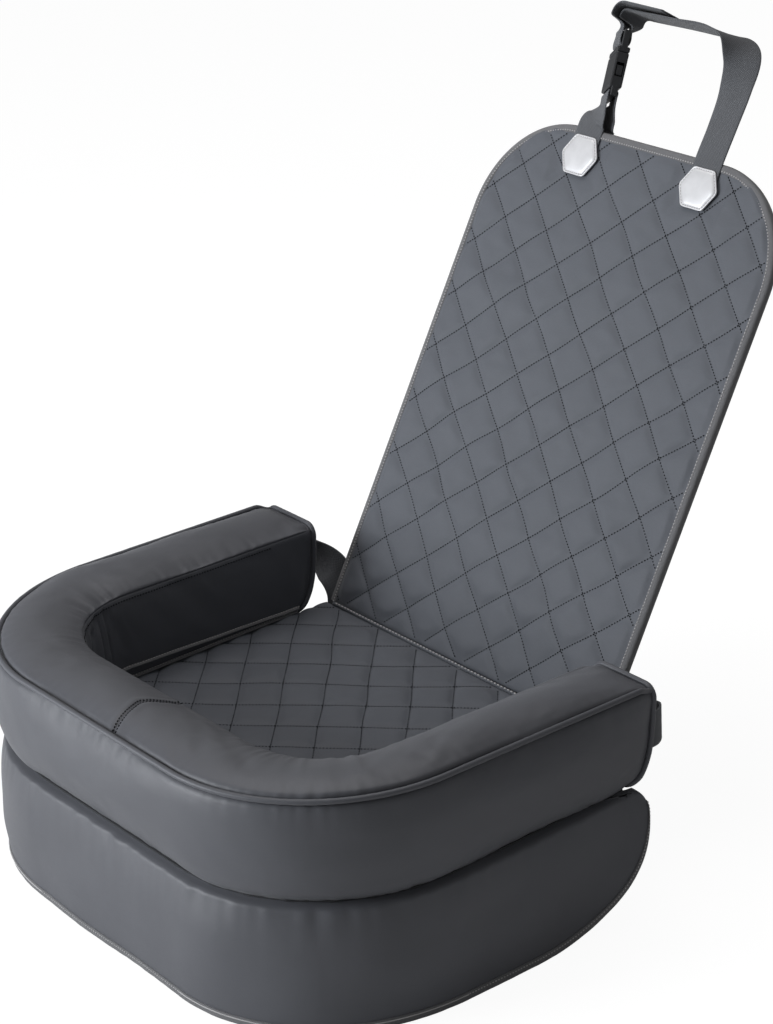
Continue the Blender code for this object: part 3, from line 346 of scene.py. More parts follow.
def leather_finish(name, rgb, roughness):
    """Smooth faux leather: fine pebble grain, soft clouding and a dull sheen."""
    finish = Finish(name, Specular_IOR_Level=0.38, Sheen_Weight=0.10, Sheen_Roughness=0.5)
    where = finish.place()
    cloud = finish.noise(where, 9.0, 4.0, 0.6)
    speck = finish.noise(where, 900.0, 2.0)
    grain = finish.cells(where, 950.0).at_most(0.18)
    tone = cloud * 0.75 + speck * 0.25
    finish.tint(tone, rgb, 0.86, 1.14)
    finish.feed("Roughness", (roughness - 0.05) + cloud * 0.08 + grain * 0.25)
    creases = finish.noise(finish.stretched(where, (1.0, 1.0, 1.7)), 70.0, 3.0, 0.55)
    finish.bump(grain * 1.2 + speck * 0.25 + creases * 1.2, 0.00016, 0.75)
    return finish.material


def quilt_finish(name, rgb):
    """Coated quilting cloth: a fine plain weave under a dull coating."""
    finish = Finish(name, Specular_IOR_Level=0.30, Sheen_Weight=0.12, Sheen_Roughness=0.45)
    where, along, across = finish.flat()
    threads = (along * 7200.0).sine() * (across * 7200.0).sine()
    cloud = finish.noise(where, 14.0, 4.0, 0.6)
    slub = finish.noise(finish.stretched(where, (1.0, 6.0, 1.0)), 160.0, 2.0)
    tone = cloud * 0.6 + slub * 0.4
    finish.tint(tone, rgb, 0.82, 1.18)
    finish.feed("Roughness", 0.50 + cloud * 0.10 + threads * 0.03)
    finish.bump(threads * 0.5 + slub * 1.4 + cloud * 2.0, 0.00012, 0.7)
    return finish.material


def tape_finish(name, rgb):
    """Woven binding tape with fine cross ribs."""
    finish = Finish(name, Specular_IOR_Level=0.2, Sheen_Weight=0.2, Sheen_Roughness=0.6)
    where, along, across = finish.flat()
    ribs = (along * 5200.0).sine() * 0.5 + 0.5
    weft = (across * 9000.0).sine() * 0.5 + 0.5
    fibre = finish.noise(where, 1400.0, 2.0)
    cloud = finish.noise(where, 35.0, 3.0)
    tone = ribs * 0.35 + weft * 0.15 + fibre * 0.25 + cloud * 0.25
    finish.tint(tone, rgb, 0.62, 1.35)
    finish.feed("Roughness", 0.80 + fibre * 0.15)
    finish.bump(ribs + weft * 0.4 + fibre * 0.5, 0.00022)
    return finish.material


def webbing_finish(name, rgb):
    """Strap webbing: a basket weave of small knots, with plain ridged edges."""
    finish = Finish(name, Specular_IOR_Level=0.25, Sheen_Weight=0.18, Sheen_Roughness=0.5)
    where, along, across = finish.flat()
    knots = (along * 2800.0).sine() * (across * 2600.0).sine() * 0.5 + 0.5
    ends = ((across * 5200.0).sine() * 0.5 + 0.5) ** 2.0
    fibre = finish.noise(where, 1500.0, 2.0)
    cloud = finish.noise(where, 60.0, 3.0)
    tone = knots * 0.5 + ends * 0.1 + fibre * 0.25 + cloud * 0.15
    finish.tint(tone, rgb, 0.45, 1.65)
    finish.feed("Roughness", 0.78 + fibre * 0.15)
    finish.bump(knots + ends * 0.3 + fibre * 0.4, 0.00035)
    return finish.material


def plastic_finish(name, rgb):
    """Moulded plastic: fine spark texture and faint flow marks."""
    finish = Finish(name, Specular_IOR_Level=0.5)
    where = finish.place()
    spark = finish.noise(where, 2600.0, 2.0)
    flow = finish.noise(finish.stretched(where, (1.0, 1.0, 3.0)), 45.0, 3.0)
    finish.tint(flow, rgb, 0.85, 1.25)
    finish.feed("Roughness", 0.34 + spark * 0.12 + flow * 0.08)
    finish.bump(spark + flow * 0.6, 0.00004)
    return finish.material


def patch_finish(name, rgb):
    """Silvery faux leather with a soft pearl and a fine grain."""
    finish = Finish(name, Specular_IOR_Level=0.6, Metallic=0.25)
    where = finish.place()
    cloud = finish.noise(where, 60.0, 4.0, 0.6)
    grain = finish.cells(where, 1300.0).at_most(0.2)
    finish.tint(cloud, rgb, 0.88, 1.14)
    finish.feed("Roughness", 0.30 + cloud * 0.12 + grain * 0.4)
    finish.bump(grain * 1.2 + cloud, 0.00010, 0.7)
    return finish.material


def cloth_finish(name, rgb):
    """Plain non-woven or canvas backing with matted fibres."""
    finish = Finish(name, Specular_IOR_Level=0.15, Sheen_Weight=0.15)
    where = finish.place()
    fibre = finish.noise(where, 700.0, 4.0, 0.7)
    dimple = finish.cells(where, 420.0).at_most(0.3)
    cloud = finish.noise(where, 25.0, 3.0)
    tone = fibre * 0.6 + cloud * 0.4
    finish.tint(tone, rgb, 0.7, 1.5)
    finish.feed("Roughness", 0.85 + fibre * 0.12)
    finish.bump(fibre + dimple * 2.0, 0.00025)
    return finish.material


def thread_finish(name, rgb):
    """Twisted sewing thread."""
    finish = Finish(name, Specular_IOR_Level=0.15)
    twist = finish.noise(finish.place(), 3500.0, 1.0)
    finish.tint(twist, rgb, 0.7, 1.3)
    finish.feed("Roughness", 0.6 + twist * 0.2)
    return finish.material


FINISHES = {
    "leather": lambda c: leather_finish("smooth_faux_leather", c.leather, 0.46),
    "quilt": lambda c: quilt_finish("coated_quilting_cloth", c.quilt),
    "binding": lambda c: tape_finish("woven_binding_tape", c.tape),
    "webbing": lambda c: webbing_finish("woven_webbing", c.webbing),
    "plastic": lambda c: plastic_finish("moulded_plastic", c.plastic),
    "patch": lambda c: patch_finish("silvery_faux_leather", c.patch),
    "backing": lambda c: cloth_finish("matted_backing", c.backing),
    "base": lambda c: cloth_finish("dark_base_cloth", c.backing),
    # Quilting stitches: the thread's colour darkened into painted shade of the stitch holes.
    "thread_and_hole_shade": lambda c: thread_finish("thread_and_hole_shade", c.thread_and_hole_shade),
    "light_thread": lambda c: thread_finish("light_thread", c.light_thread),
}
MADE = {}


def finish_of(kind):
    """The material of this kind, made once from the scene's colours."""
    if kind not in MADE:
        MADE[kind] = FINISHES[kind](bpy.context.scene.dog_seat_colours)
    return MADE[kind]


# Mesh making


def waves(points, scale, seed):
    """Soft noise from -1 to 1 at many places, stretched by a scale along each axis."""
    spots = np.asarray(points) * np.asarray(scale) + seed * 7.31
    return np.array([noise.noise(Vector(spot)) for spot in spots.reshape(-1, 3)]).reshape(
        spots.shape[:-1]
    )


def moved(points, matrix):
    """Points carried by a matrix."""
    turn = np.array(matrix)
    return np.asarray(points) @ turn[:3, :3].T + turn[:3, 3]


def mesh_of(name, points, faces, kind, flat=None, crease=None):
    """A mesh with its material, and where each of its points lies laid flat."""
    mesh = bpy.data.meshes.new(name)
    mesh.from_pydata(np.asarray(points).reshape(-1, 3).tolist(), [], faces)
    bm = bmesh.new()
    bm.from_mesh(mesh)
    bmesh.ops.recalc_face_normals(bm, faces=bm.faces)
    bm.to_mesh(mesh)
    bm.free()
    mesh.shade_smooth()
    if crease:
        mesh.set_sharp_from_angle(angle=math.radians(crease))
    if flat is not None:
        spread = mesh.attributes.new("flat", "FLOAT_VECTOR", "POINT")
        spread.data.foreach_set("vector", np.asarray(flat, dtype=np.float32).ravel())
    mesh.materials.append(finish_of(kind))
    return mesh


def linked(name, data):
    """A new object of the scene for a mesh, a lamp or a camera."""
    obj = bpy.data.objects.new(name, data)
    bpy.context.scene.collection.objects.link(obj)
    return obj


def points_of(mesh):
    """Where a mesh's points lie, one row for each."""
    points = np.zeros(len(mesh.vertices) * 3)
    mesh.vertices.foreach_get("co", points)
    return points.reshape(-1, 3)


def piece(name, points, faces, kind, body, flat=None, crease=None):
    """A named mesh object, riding on a body unless it crosses a joint."""
    obj = linked(name, mesh_of(name, points, faces, kind, flat, crease))
    if body:
        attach(obj, body)
    return obj


def finer(grid, axis, closed=False):
    """A grid with a new line midway between each two along an axis, on smooth curves."""
    grid = np.moveaxis(grid, axis, 0)
    if closed:
        before, after, far = np.roll(grid, 1, 0), np.roll(grid, -1, 0), np.roll(grid, -2, 0)
        start = grid
    else:
        start, after = grid[:-1], grid[1:]
        before = np.concatenate([2 * grid[:1] - grid[1:2], grid[:-2]])
        far = np.concatenate([grid[2:], 2 * grid[-1:] - grid[-2:-1]])
    middle = (9 * (start + after) - before - far) / 16
    count = len(grid) + len(middle)
    fine = np.empty((count,) + grid.shape[1:])
    fine[::2] = grid
    fine[1::2] = middle
    return np.moveaxis(fine, 0, axis)


def loft_faces(count, size, closed=False):
    """Quads between rings of points, with the two ends capped unless the path closes."""
    last = count if closed else count - 1
    faces = []
    for i in range(last):
        a = i * size
        b = ((i + 1) % count) * size
        faces += [(a + j, a + (j + 1) % size, b + (j + 1) % size, b + j) for j in range(size)]
    if not closed:
        faces.append(tuple(range(size)))
        faces.append(tuple(reversed(range((count - 1) * size, count * size))))
    return faces


def distances(path):
    """How far along a path each of its points lies."""
    return np.concatenate([[0.0], np.cumsum(np.linalg.norm(np.diff(path, axis=0), axis=1))])


def unit(ways):
    """Directions drawn to a length of one."""
    return ways / np.linalg.norm(ways, axis=-1, keepdims=True)


def laid_flat(rings):
    """Along the rings and round each ring, in metres."""
    along = distances(rings.mean(axis=1))
    around = np.linalg.norm(np.diff(rings, axis=1), axis=2).mean(axis=0)
    across = np.concatenate([[0.0], np.cumsum(around)])
    flat = np.zeros(rings.shape)
    flat[..., 0] = along[:, None]
    flat[..., 1] = across[None, :] - across[-1] / 2
    return flat


def loft(name, rings, kind, body, closed=False, flat=None, crease=None):
    """A piece from rings of points, laid flat as measured unless told otherwise."""
    rings = np.asarray(rings)
    if flat is None:
        flat = laid_flat(rings)
    faces = loft_faces(rings.shape[0], rings.shape[1], closed)
    return piece(name, rings, faces, kind, body, flat, crease)


def tangents(path, closed=False):
    """The direction of a path at each of its points."""
    path = np.asarray(path)
    if closed:
        step = np.roll(path, -1, axis=0) - np.roll(path, 1, axis=0)
    else:
        step = np.gradient(path, axis=0)
    return unit(step)


def cord_piece(name, path, radius, kind, body, up, closed=False, sides=14):
    """A round cord along a path, slightly uneven where its cover is drawn over it."""
    path = np.asarray(path)
    along = tangents(path, closed)
    side = unit(np.cross(along, np.broadcast_to(up, along.shape)))
    rise = np.cross(side, along)
    angle = np.linspace(0, 2 * math.pi, sides, endpoint=False)
    swell = radius * (1 + 0.05 * waves(path, (160, 160, 160), 3))
    spoke = np.cos(angle)[None, :, None] * side[:, None]
    spoke = spoke + np.sin(angle)[None, :, None] * rise[:, None]
    return loft(name, path[:, None] + swell[:, None, None] * spoke, kind, body, closed)


def even(path, spacing, closed=False):
    """The path at even spacing."""
    path = np.asarray(path)
    if closed:
        path = np.vstack([path, path[:1]])
    far = distances(path)
    count = max(2, round(far[-1] / spacing) + 1)
    spots = np.linspace(0, far[-1], count)
    if closed:
        spots = spots[:-1]
    return np.stack([np.interp(spots, far, path[:, k]) for k in range(path.shape[1])], axis=1)


def stitches(name, centres, along, normals, kind, body, radius=None, length=None):
    """A row of short threads, each dipping into the cloth at both ends."""
    sizes = bpy.context.scene.dog_seat_sizes
    radius = radius or sizes.thread_radius
    length = length or sizes.stitch_pitch * STITCH_SHARE
    centres = np.asarray(centres, dtype=float)
    along = np.broadcast_to(np.asarray(along, dtype=float), centres.shape)
    normals = np.broadcast_to(np.asarray(normals, dtype=float), centres.shape)
    along = unit(along)
    normals = unit(normals - along * (along * normals).sum(axis=1)[:, None])
    side = np.cross(along, normals)
    angle = np.linspace(0, 2 * math.pi, THREAD_SIDES, endpoint=False)
    rings = []
    for far, lift, wide in STITCH_SECTIONS:
        middle = centres + along * far * length + normals * lift * radius
        rings.append(
            middle[:, None]
            + side[:, None] * np.cos(angle)[None, :, None] * radius * wide * 1.15
            + normals[:, None] * np.sin(angle)[None, :, None] * radius * wide
        )
    one = np.array(loft_faces(len(rings), THREAD_SIDES)[:-2])
    starts = np.arange(len(centres)) * len(rings) * THREAD_SIDES
    faces = (one[None] + starts[:, None, None]).reshape(-1, 4)
    return piece(name, np.stack(rings, axis=1), faces.tolist(), kind, body)


# The bolster's plan and section


def u_path(rear, spots):
    """Places round the bolster's outer face at signed distances from the front's middle."""
    front = HALF_WIDTH - OUTER_CORNER
    bend = OUTER_CORNER * math.pi / 2
    centre_y = OUTER_CORNER - HALF_DEPTH
    far = np.abs(spots)
    side = np.where(spots < 0, -1.0, 1.0)
    angle = np.clip((far - front) / OUTER_CORNER, 0, math.pi / 2)
    x = np.minimum(far, front) + OUTER_CORNER * np.sin(angle)
    y = centre_y - OUTER_CORNER * np.cos(angle) + np.clip(far - front - bend, 0, None)
    share = np.clip((far - front - bend) / (rear - centre_y), 0, 1)
    point = np.stack([side * x, y], axis=1)
    inward = np.stack([-side * np.sin(angle), np.cos(angle)], axis=1)
    return {"point": point, "inward": inward, "share": share, "spot": spots, "angle": angle}


def u_reach(rear):
    """The distance round the outer face from the front's middle to an arm's rear."""
    return HALF_WIDTH - OUTER_CORNER + OUTER_CORNER * math.pi / 2 + rear - OUTER_CORNER + HALF_DEPTH


def thickness(path):
    """How thick the bolster is, fuller in front than along the arms."""
    return ARM_THICKNESS + (FRONT_THICKNESS - ARM_THICKNESS) * path["inward"][:, 1] ** 2


def fade(path):
    """The share of the cover's bulge that is left towards the arms' ends."""
    return 1.0 - (1.0 - END_BULGE_SHARE) * path["share"] ** 3


def leaning(points, clearance=0.0):
    """Points moved forward where the arms' ends lean in and tuck under."""
    points = np.array(points)
    near = np.clip((points[..., 1] - HALF_DEPTH + END_REACH) / (END_REACH - SEAM_REACH), 0, 1)
    down = 1.0 - (points[..., 2] - BOLSTER_BOTTOM) / BOLSTER_HEIGHT
    below = down > 1.0
    down = np.clip(down, 0, 1)
    slope = (END_LEAN + END_TUCK * END_TUCK_POWER * down ** (END_TUCK_POWER - 1)) / BOLSTER_HEIGHT
    pull = END_LEAN * down + END_TUCK * down**END_TUCK_POWER
    pull = pull + clearance * (np.hypot(1.0, slope) - 1.0)
    points[..., 1] -= np.where(below, 0.0, pull * near * near * (3.0 - 2.0 * near))
    return points


def places(path, inward, height, clearance=0.0):
    """Points at distances in from the outer face and heights over the bolster's bottom."""
    plan = path["point"] + path["inward"] * np.broadcast_to(inward, path["spot"].shape)[:, None]
    up = BOLSTER_BOTTOM + np.broadcast_to(height, path["spot"].shape)
    return leaning(np.column_stack([plan, up]), clearance)


def inflate(obj, held, pressure, slack, frames, cap):
    """Let a cover's panels swell between its sewn rows, no point further than its cap."""
    mesh = obj.data
    start = points_of(mesh)
    sewn = obj.vertex_groups.new(name="sewn")
    sewn.add([int(i) for i in held], 1.0, "REPLACE")
    cloth = obj.modifiers.new("stuffing", "CLOTH")
    settings = {
        "quality": 6, "mass": 0.25, "tension_stiffness": 18, "compression_stiffness": 18,
        "shear_stiffness": 8, "bending_stiffness": 0.3, "vertex_group_mass": "sewn",
        "use_pressure": True, "uniform_pressure_force": pressure,
        "shrink_min": -slack, "shrink_max": -slack,
    }
    for key, value in settings.items():
        setattr(cloth.settings, key, value)
    cloth.settings.effector_weights.gravity = 0
    cloth.point_cache.frame_end = frames
    scene = bpy.context.scene
    for step in range(1, frames + 1):
        scene.frame_set(step)
    graph = bpy.context.evaluated_depsgraph_get()
    end = points_of(obj.evaluated_get(graph).data)
    obj.modifiers.remove(cloth)
    scene.frame_set(1)
    if not np.isfinite(end).all():
        raise RuntimeError(f"{obj.name}: the simulation gave no shape")
    move = end - start
    far = np.linalg.norm(move, axis=1)
    move *= np.minimum(1.0, cap / np.maximum(far, 1e-9))[:, None]
    mesh.vertices.foreach_set("co", (start + move).ravel())
    mesh.update()


def centre_seam(inward):
    """How far right of the middle the front's sewn joint runs, across the top."""
    deep, aside = np.transpose(JOINT_SEAM)
    return np.interp(inward - HALF_DEPTH, deep, aside)


def rounded_end(path, inward, height):
    """Section places drawn onto the end panel's rounded outline close to the arms' ends."""
    reach = np.abs(path["spot"]).max()
    near = np.clip(1.0 - (reach - np.abs(path["spot"])) / END_BLEND, 0, 1)
    near = near * near * (3 - 2 * near)
    wide = ARM_THICKNESS - PIPING_RADIUS
    low = PIPING_RADIUS
    high = BOLSTER_HEIGHT - ARM_DROP - INNER_EDGE_DROP / 2
    across = np.clip(inward, 0, wide)
    up = np.clip(height, low, high)
    corner_x = np.clip(across, END_CORNER, wide - END_CORNER)
    corner_z = np.clip(up, low + END_CORNER, high - END_CORNER)
    off_x, off_z = across - corner_x, up - corner_z
    longest = np.maximum(np.abs(off_x), np.abs(off_z))
    share = longest / np.maximum(np.hypot(off_x, off_z), 1e-9)
    across = corner_x + off_x * share
    up = corner_z + off_z * share
    return inward + (across - inward) * near, height + (up - height) * near


def bolster_rows(path):
    """The cover's section: inward distances, heights, panel and whether a row is sewn."""
    thick = thickness(path)
    full = fade(path)
    top = BOLSTER_HEIGHT - ARM_DROP * path["share"]
    edge = top - INNER_EDGE_DROP
    rows = []

    def row(inward, height, panel, sewn=False):
        rows.append((*rounded_end(path, inward + 0 * top, height + 0 * top), panel, sewn))

    row(SEAM_TUCK + 0.004, 0.0010, "under", True)
    row(SEAM_TUCK - 0.0008, 0.0010, "outer", True)
    for part in np.concatenate([[0.014, 0.032, 0.06], np.linspace(0.1, 0.965, 14)]):
        bulge = OUTER_BULGE * full * math.sin(math.pi * part) ** 0.6
        curl = (SEAM_TUCK - 0.001) * math.exp(-part / 0.075)
        row(curl - bulge, 0.0004 + (top - 0.0032) * part, "outer")
    row(0.0024, top - 0.0030, "outer", True)
    row(0.0038, top - 0.0014, "top", True)
    for part in np.linspace(0.065, 0.955, 16):
        lift = CROWN * full * math.sin(math.pi * part) ** 0.7
        row(thick * part, top - INNER_EDGE_DROP * part + lift, "top")
    row(thick - 0.0012, edge + 0.0012, "top", True)
    row(thick - 0.0018, edge - 0.0002, "seam", True)
    row(thick - 0.0004, edge - 0.0014, "inner", True)
    for part in np.linspace(0.07, 0.95, 11):
        bulge = INNER_BULGE * full * math.sin(math.pi * part) ** 0.8
        row(thick + bulge, (edge - 0.0016) * (1 - part), "inner")
    row(thick - 0.0010, 0.0006, "under", True)
    row(thick * 0.6, 0.0004, "under", True)
    row(thick * 0.3, 0.0004, "under", True)
    return rows


class DOGSEAT_OT_bolster(bpy.types.Operator):
    """Make the stuffed bolster's cover with its seams, puckers and soft creases"""

    bl_idname = "dogseat.bolster"
    bl_label = "Bolster cover"

    def execute(self, context):
        rear = HALF_DEPTH - 0.0012
        reach = u_reach(rear)
        spots = np.concatenate([
            np.linspace(-reach, reach, BOLSTER_STATIONS), reach - np.array([0.0012, 0.0025]),
            np.array([0.0012, 0.0025]) - reach,
        ])
        spots = np.unique(np.round(spots, 5))
        path = u_path(rear, spots)
        rows = bolster_rows(path)
        rings = np.stack([places(path, row[0], row[1], SEAM_REACH) for row in rows], axis=1)
        drawn = np.exp(-(reach - np.abs(spots)) / END_DRAW)
        centre = rings.mean(axis=1, keepdims=True)
        rings = rings - unit(rings - centre) * (drawn * END_DRAW)[:, None, None]

        cover = loft("bolster_cover", moved(rings, SEAT), "leather", "seat")
        count, size = rings.shape[:2]
        held = {i * size + j for j, row in enumerate(rows) if row[3] for i in range(count)}
        held |= set(range(size)) | set(range((count - 1) * size, count * size))
        cap = np.tile([INNER_SWELL if row[2] == "inner" else OUTER_SWELL for row in rows], count)
        inflate(cover, sorted(held), pressure=1.6, slack=0.003, frames=18, cap=cap)
        along, points = self.crease(cover, path, rows)
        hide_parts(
            "bolster_outer_band", "bolster_top_panel", "bolster_inner_band",
            "bolster_foam_core",
        )
        self.seam_threads(along, points, rows)
        return {"FINISHED"}

    def crease(self, cover, path, rows):
        """Puckers along the seams, creases in the corners and a soft unevenness."""
        count = len(path["spot"])
        size = len(rows)
        points = points_of(cover.data).reshape(count, size, 3)
        loose = [j for j, row in enumerate(rows) if not row[3]]
        for _ in range(3):
            between = (points[:-2, loose] + points[2:, loose]) / 2
            points[1:-1, loose] = (points[1:-1, loose] + between) / 2
        points = finer(finer(points, 0), 1, closed=True)
        count, size = points.shape[:2]

        def spread(values, steps):
            """A row's or a station's values at the finer spacing."""
            return np.interp(np.arange(steps) / 2, np.arange(len(values)), values)

        along = spread(path["spot"], count)[:, None] + np.zeros((1, size))
        around = laid_flat(points)[..., 1]
        over, side, inner = (
            spread([float(row[2] == panel) for row in rows], size)[None, :]
            for panel in ("top", "outer", "inner")
        )
        free = spread([float(not row[3]) for row in rows], size)[None, :]
        bend = np.clip(np.sin(2 * spread(path["angle"], count)), 0, 1)[:, None]
        sewn = [2 * j for j, row in enumerate(rows) if row[3] and row[2] != "under"]
        edge = [2 * j for j, row in enumerate(rows) if row[2] == "seam"]
        from_seam = np.abs(around[:, :, None] - around[:, None, sewn]).min(axis=2)
        from_edge = np.abs(around - around[:, edge])

        field = np.stack([along, around, 0 * along], axis=2)
        slanted = np.stack([along + around * 0.8, around - along * 0.3, 0 * along], axis=2)
        lift = 0.0
        for spots, scale, seed, height, share in (
            (field, (9, 22, 1), 1, 0.0012, 1.0),
            (field, (5, 34, 1), 2, 0.0014, side),
            (slanted, (26, 9, 1), 5, 0.0016, 0.45 + 0.75 * inner),
            (slanted, (13, 8, 1), 9, 0.0020, over),
            (field, (120, 14, 1), 6, 0.0011, np.exp(-from_seam / 0.009)),
        ):
            lift = lift + waves(spots, scale, seed) * height * share
        ridges = 1.0 - np.abs(waves(field, (46, 5, 1), 8)) * 3.2
        lift += ridges * 0.0015 * bend * np.exp(-from_edge / 0.026)
        folds = np.abs(waves(field, (30, 9, 1), 11))
        lift -= 0.0032 * inner * bend * np.exp(-folds / 0.06)
        lift = np.where(inner > 0, -np.abs(lift), lift) * np.clip(free * 1.5, 0, 1)

        base = mesh_of("bolster_draft", points, loft_faces(count, size), "leather")
        normals = np.zeros(count * size * 3)
        base.vertex_normals.foreach_get("vector", normals)
        bpy.data.meshes.remove(base)
        inward = np.stack([spread(row[0], count) for row in rows], axis=1)
        inward = np.stack([spread(line, size) for line in inward], axis=0)
        from_joint = along - centre_seam(inward)
        lift -= over * 0.0016 * np.exp(-((from_joint / 0.0018) ** 2))
        lift += over * 0.0006 * np.exp(-(((np.abs(from_joint) - 0.0060) / 0.0035) ** 2))
        points = points + normals.reshape(count, size, 3) * lift[..., None]
        cover.data = mesh_of("bolster_cover", points, loft_faces(count, size), "leather")
        return along[:, 0], points

    def seam_threads(self, along, points, rows):
        """Two rows beside the front's joint, and one below the inner top edge."""
        over = [2 * j for j, row in enumerate(rows) if row[2] == "top"]
        inner = [2 * j for j, row in enumerate(rows) if row[2] == "inner"]
        beside = [
            self.across_top(along, points[:, over], side * JOINT_STITCH_HALF) for side in (-1, 1)
        ]
        below = [points[EDGE_STITCH_CLEAR:-EDGE_STITCH_CLEAR, inner[0] + 1]]
        for name, lines in (("bolster_joint_stitches", beside), ("bolster_edge_stitches", below)):
            lines = [even(line, SEAM_PITCH) for line in lines]
            centres = np.vstack(lines)
            ways = np.vstack([tangents(line) for line in lines])
            out = (0.0, 0.0, 1.0)
            if name == "bolster_edge_stitches":
                sideways = np.column_stack([-ways[:, 1], ways[:, 0]])
                away = np.sign((sideways * (centres[:, :2] - (0.0, MIDDLE_Y))).sum(axis=1))
                out = np.column_stack([-away[:, None] * sideways, np.full(len(ways), 0.6)])
            row = stitches(name, centres, ways, out, "thread_and_hole_shade", "seat", length=SEAM_STITCH)

    def across_top(self, along, points, beside):
        """The line over the top panel that runs beside the front's joint."""
        line = []
        for j in range(points.shape[1]):
            inward = points[:, j, 1].min() - MIDDLE_Y + HALF_DEPTH
            spot = centre_seam(inward) + beside
            line.append([np.interp(spot, along, points[:, j, k]) for k in range(3)])
        return np.array(line) + (0.0, 0.0, 0.0002)


class DOGSEAT_OT_piping(bpy.types.Operator):
    """Make the covered cords along the bolster's top edge and round the arms' ends"""

    bl_idname = "dogseat.piping"
    bl_label = "Piping and end panels"

    def execute(self, context):
        rear = HALF_DEPTH - 0.0018
        reach = u_reach(rear)
        path = u_path(rear, np.linspace(-reach, reach, 560))
        top = BOLSTER_HEIGHT - ARM_DROP * path["share"]
        line = places(path, *rounded_end(path, 0 * top, top), SEAM_REACH)
        cord = cord_piece(
            "bolster_edge_piping", moved(line, SEAT), PIPING_RADIUS, "leather", "seat", (0, 0, 1)
        )
        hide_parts("bolster_piping")
        for side, sign in SIDES.items():
            loop = self.end_line(0.0, sign, 0.0025)
            cord = cord_piece(
                f"end_cord_{side}", moved(loop, SEAT), PIPING_RADIUS, "leather", "seat",
                (0, 1, 0), closed=True,
            )
            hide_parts(f"end_piping_{side}")
            self.end_cover(side, sign)
        return {"FINISHED"}

    def end_line(self, inset, sign, spacing):
        """The rounded outline of an arm's end, on its leaning face."""
        top = BOLSTER_HEIGHT - ARM_DROP - INNER_EDGE_DROP / 2
        near = END_CORNER
        far = ARM_THICKNESS - PIPING_RADIUS - END_CORNER
        radius = END_CORNER - inset
        low = END_CORNER + PIPING_RADIUS
        high = top - END_CORNER
        corners = ((far, high, 0), (near, high, 90), (near, low, 180), (far, low, 270))
        outline = []
        for x, z, start in corners:
            for angle in np.radians(np.linspace(start, start + 90, 9)):
                outline.append((x + radius * math.cos(angle), z + radius * math.sin(angle)))
        outline = even(np.array(outline), spacing, closed=True)
        points = np.column_stack([
            sign * (HALF_WIDTH - outline[:, 0]), np.full(len(outline), HALF_DEPTH),
            BOLSTER_BOTTOM + outline[:, 1],
        ])
        return leaning(points)

    def end_cover(self, side, sign):
        """A panel drawn over the arm's stuffing, fullest in its middle."""
        edge = self.end_line(0.0010, sign, 0.003)
        middle = edge.mean(axis=0)
        rings = []
        for share in (1.0, 0.975, 0.93, 0.82, 0.66, 0.48, 0.3, 0.12):
            ring = middle + (edge - middle) * share
            ring[:, 1] = leaning(np.column_stack([
                ring[:, 0], np.full(len(ring), HALF_DEPTH), ring[:, 2],
            ]))[:, 1]
            full = 0.0034 * (1 - share**4) ** 0.6 - 0.0012 * share**12
            dents = waves(ring, (60, 60, 60), 12 + sign) * 0.0007 * (1 - share)
            ring[:, 1] += full + dents
            rings.append(ring)
        rings = np.array(rings)
        back = edge - (0, 0.006, 0)
        rings = np.concatenate([back[None], rings])
        panel = loft(f"end_cover_{side}", moved(rings, SEAT), "leather", "seat")
        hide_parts(f"end_panel_{side}")


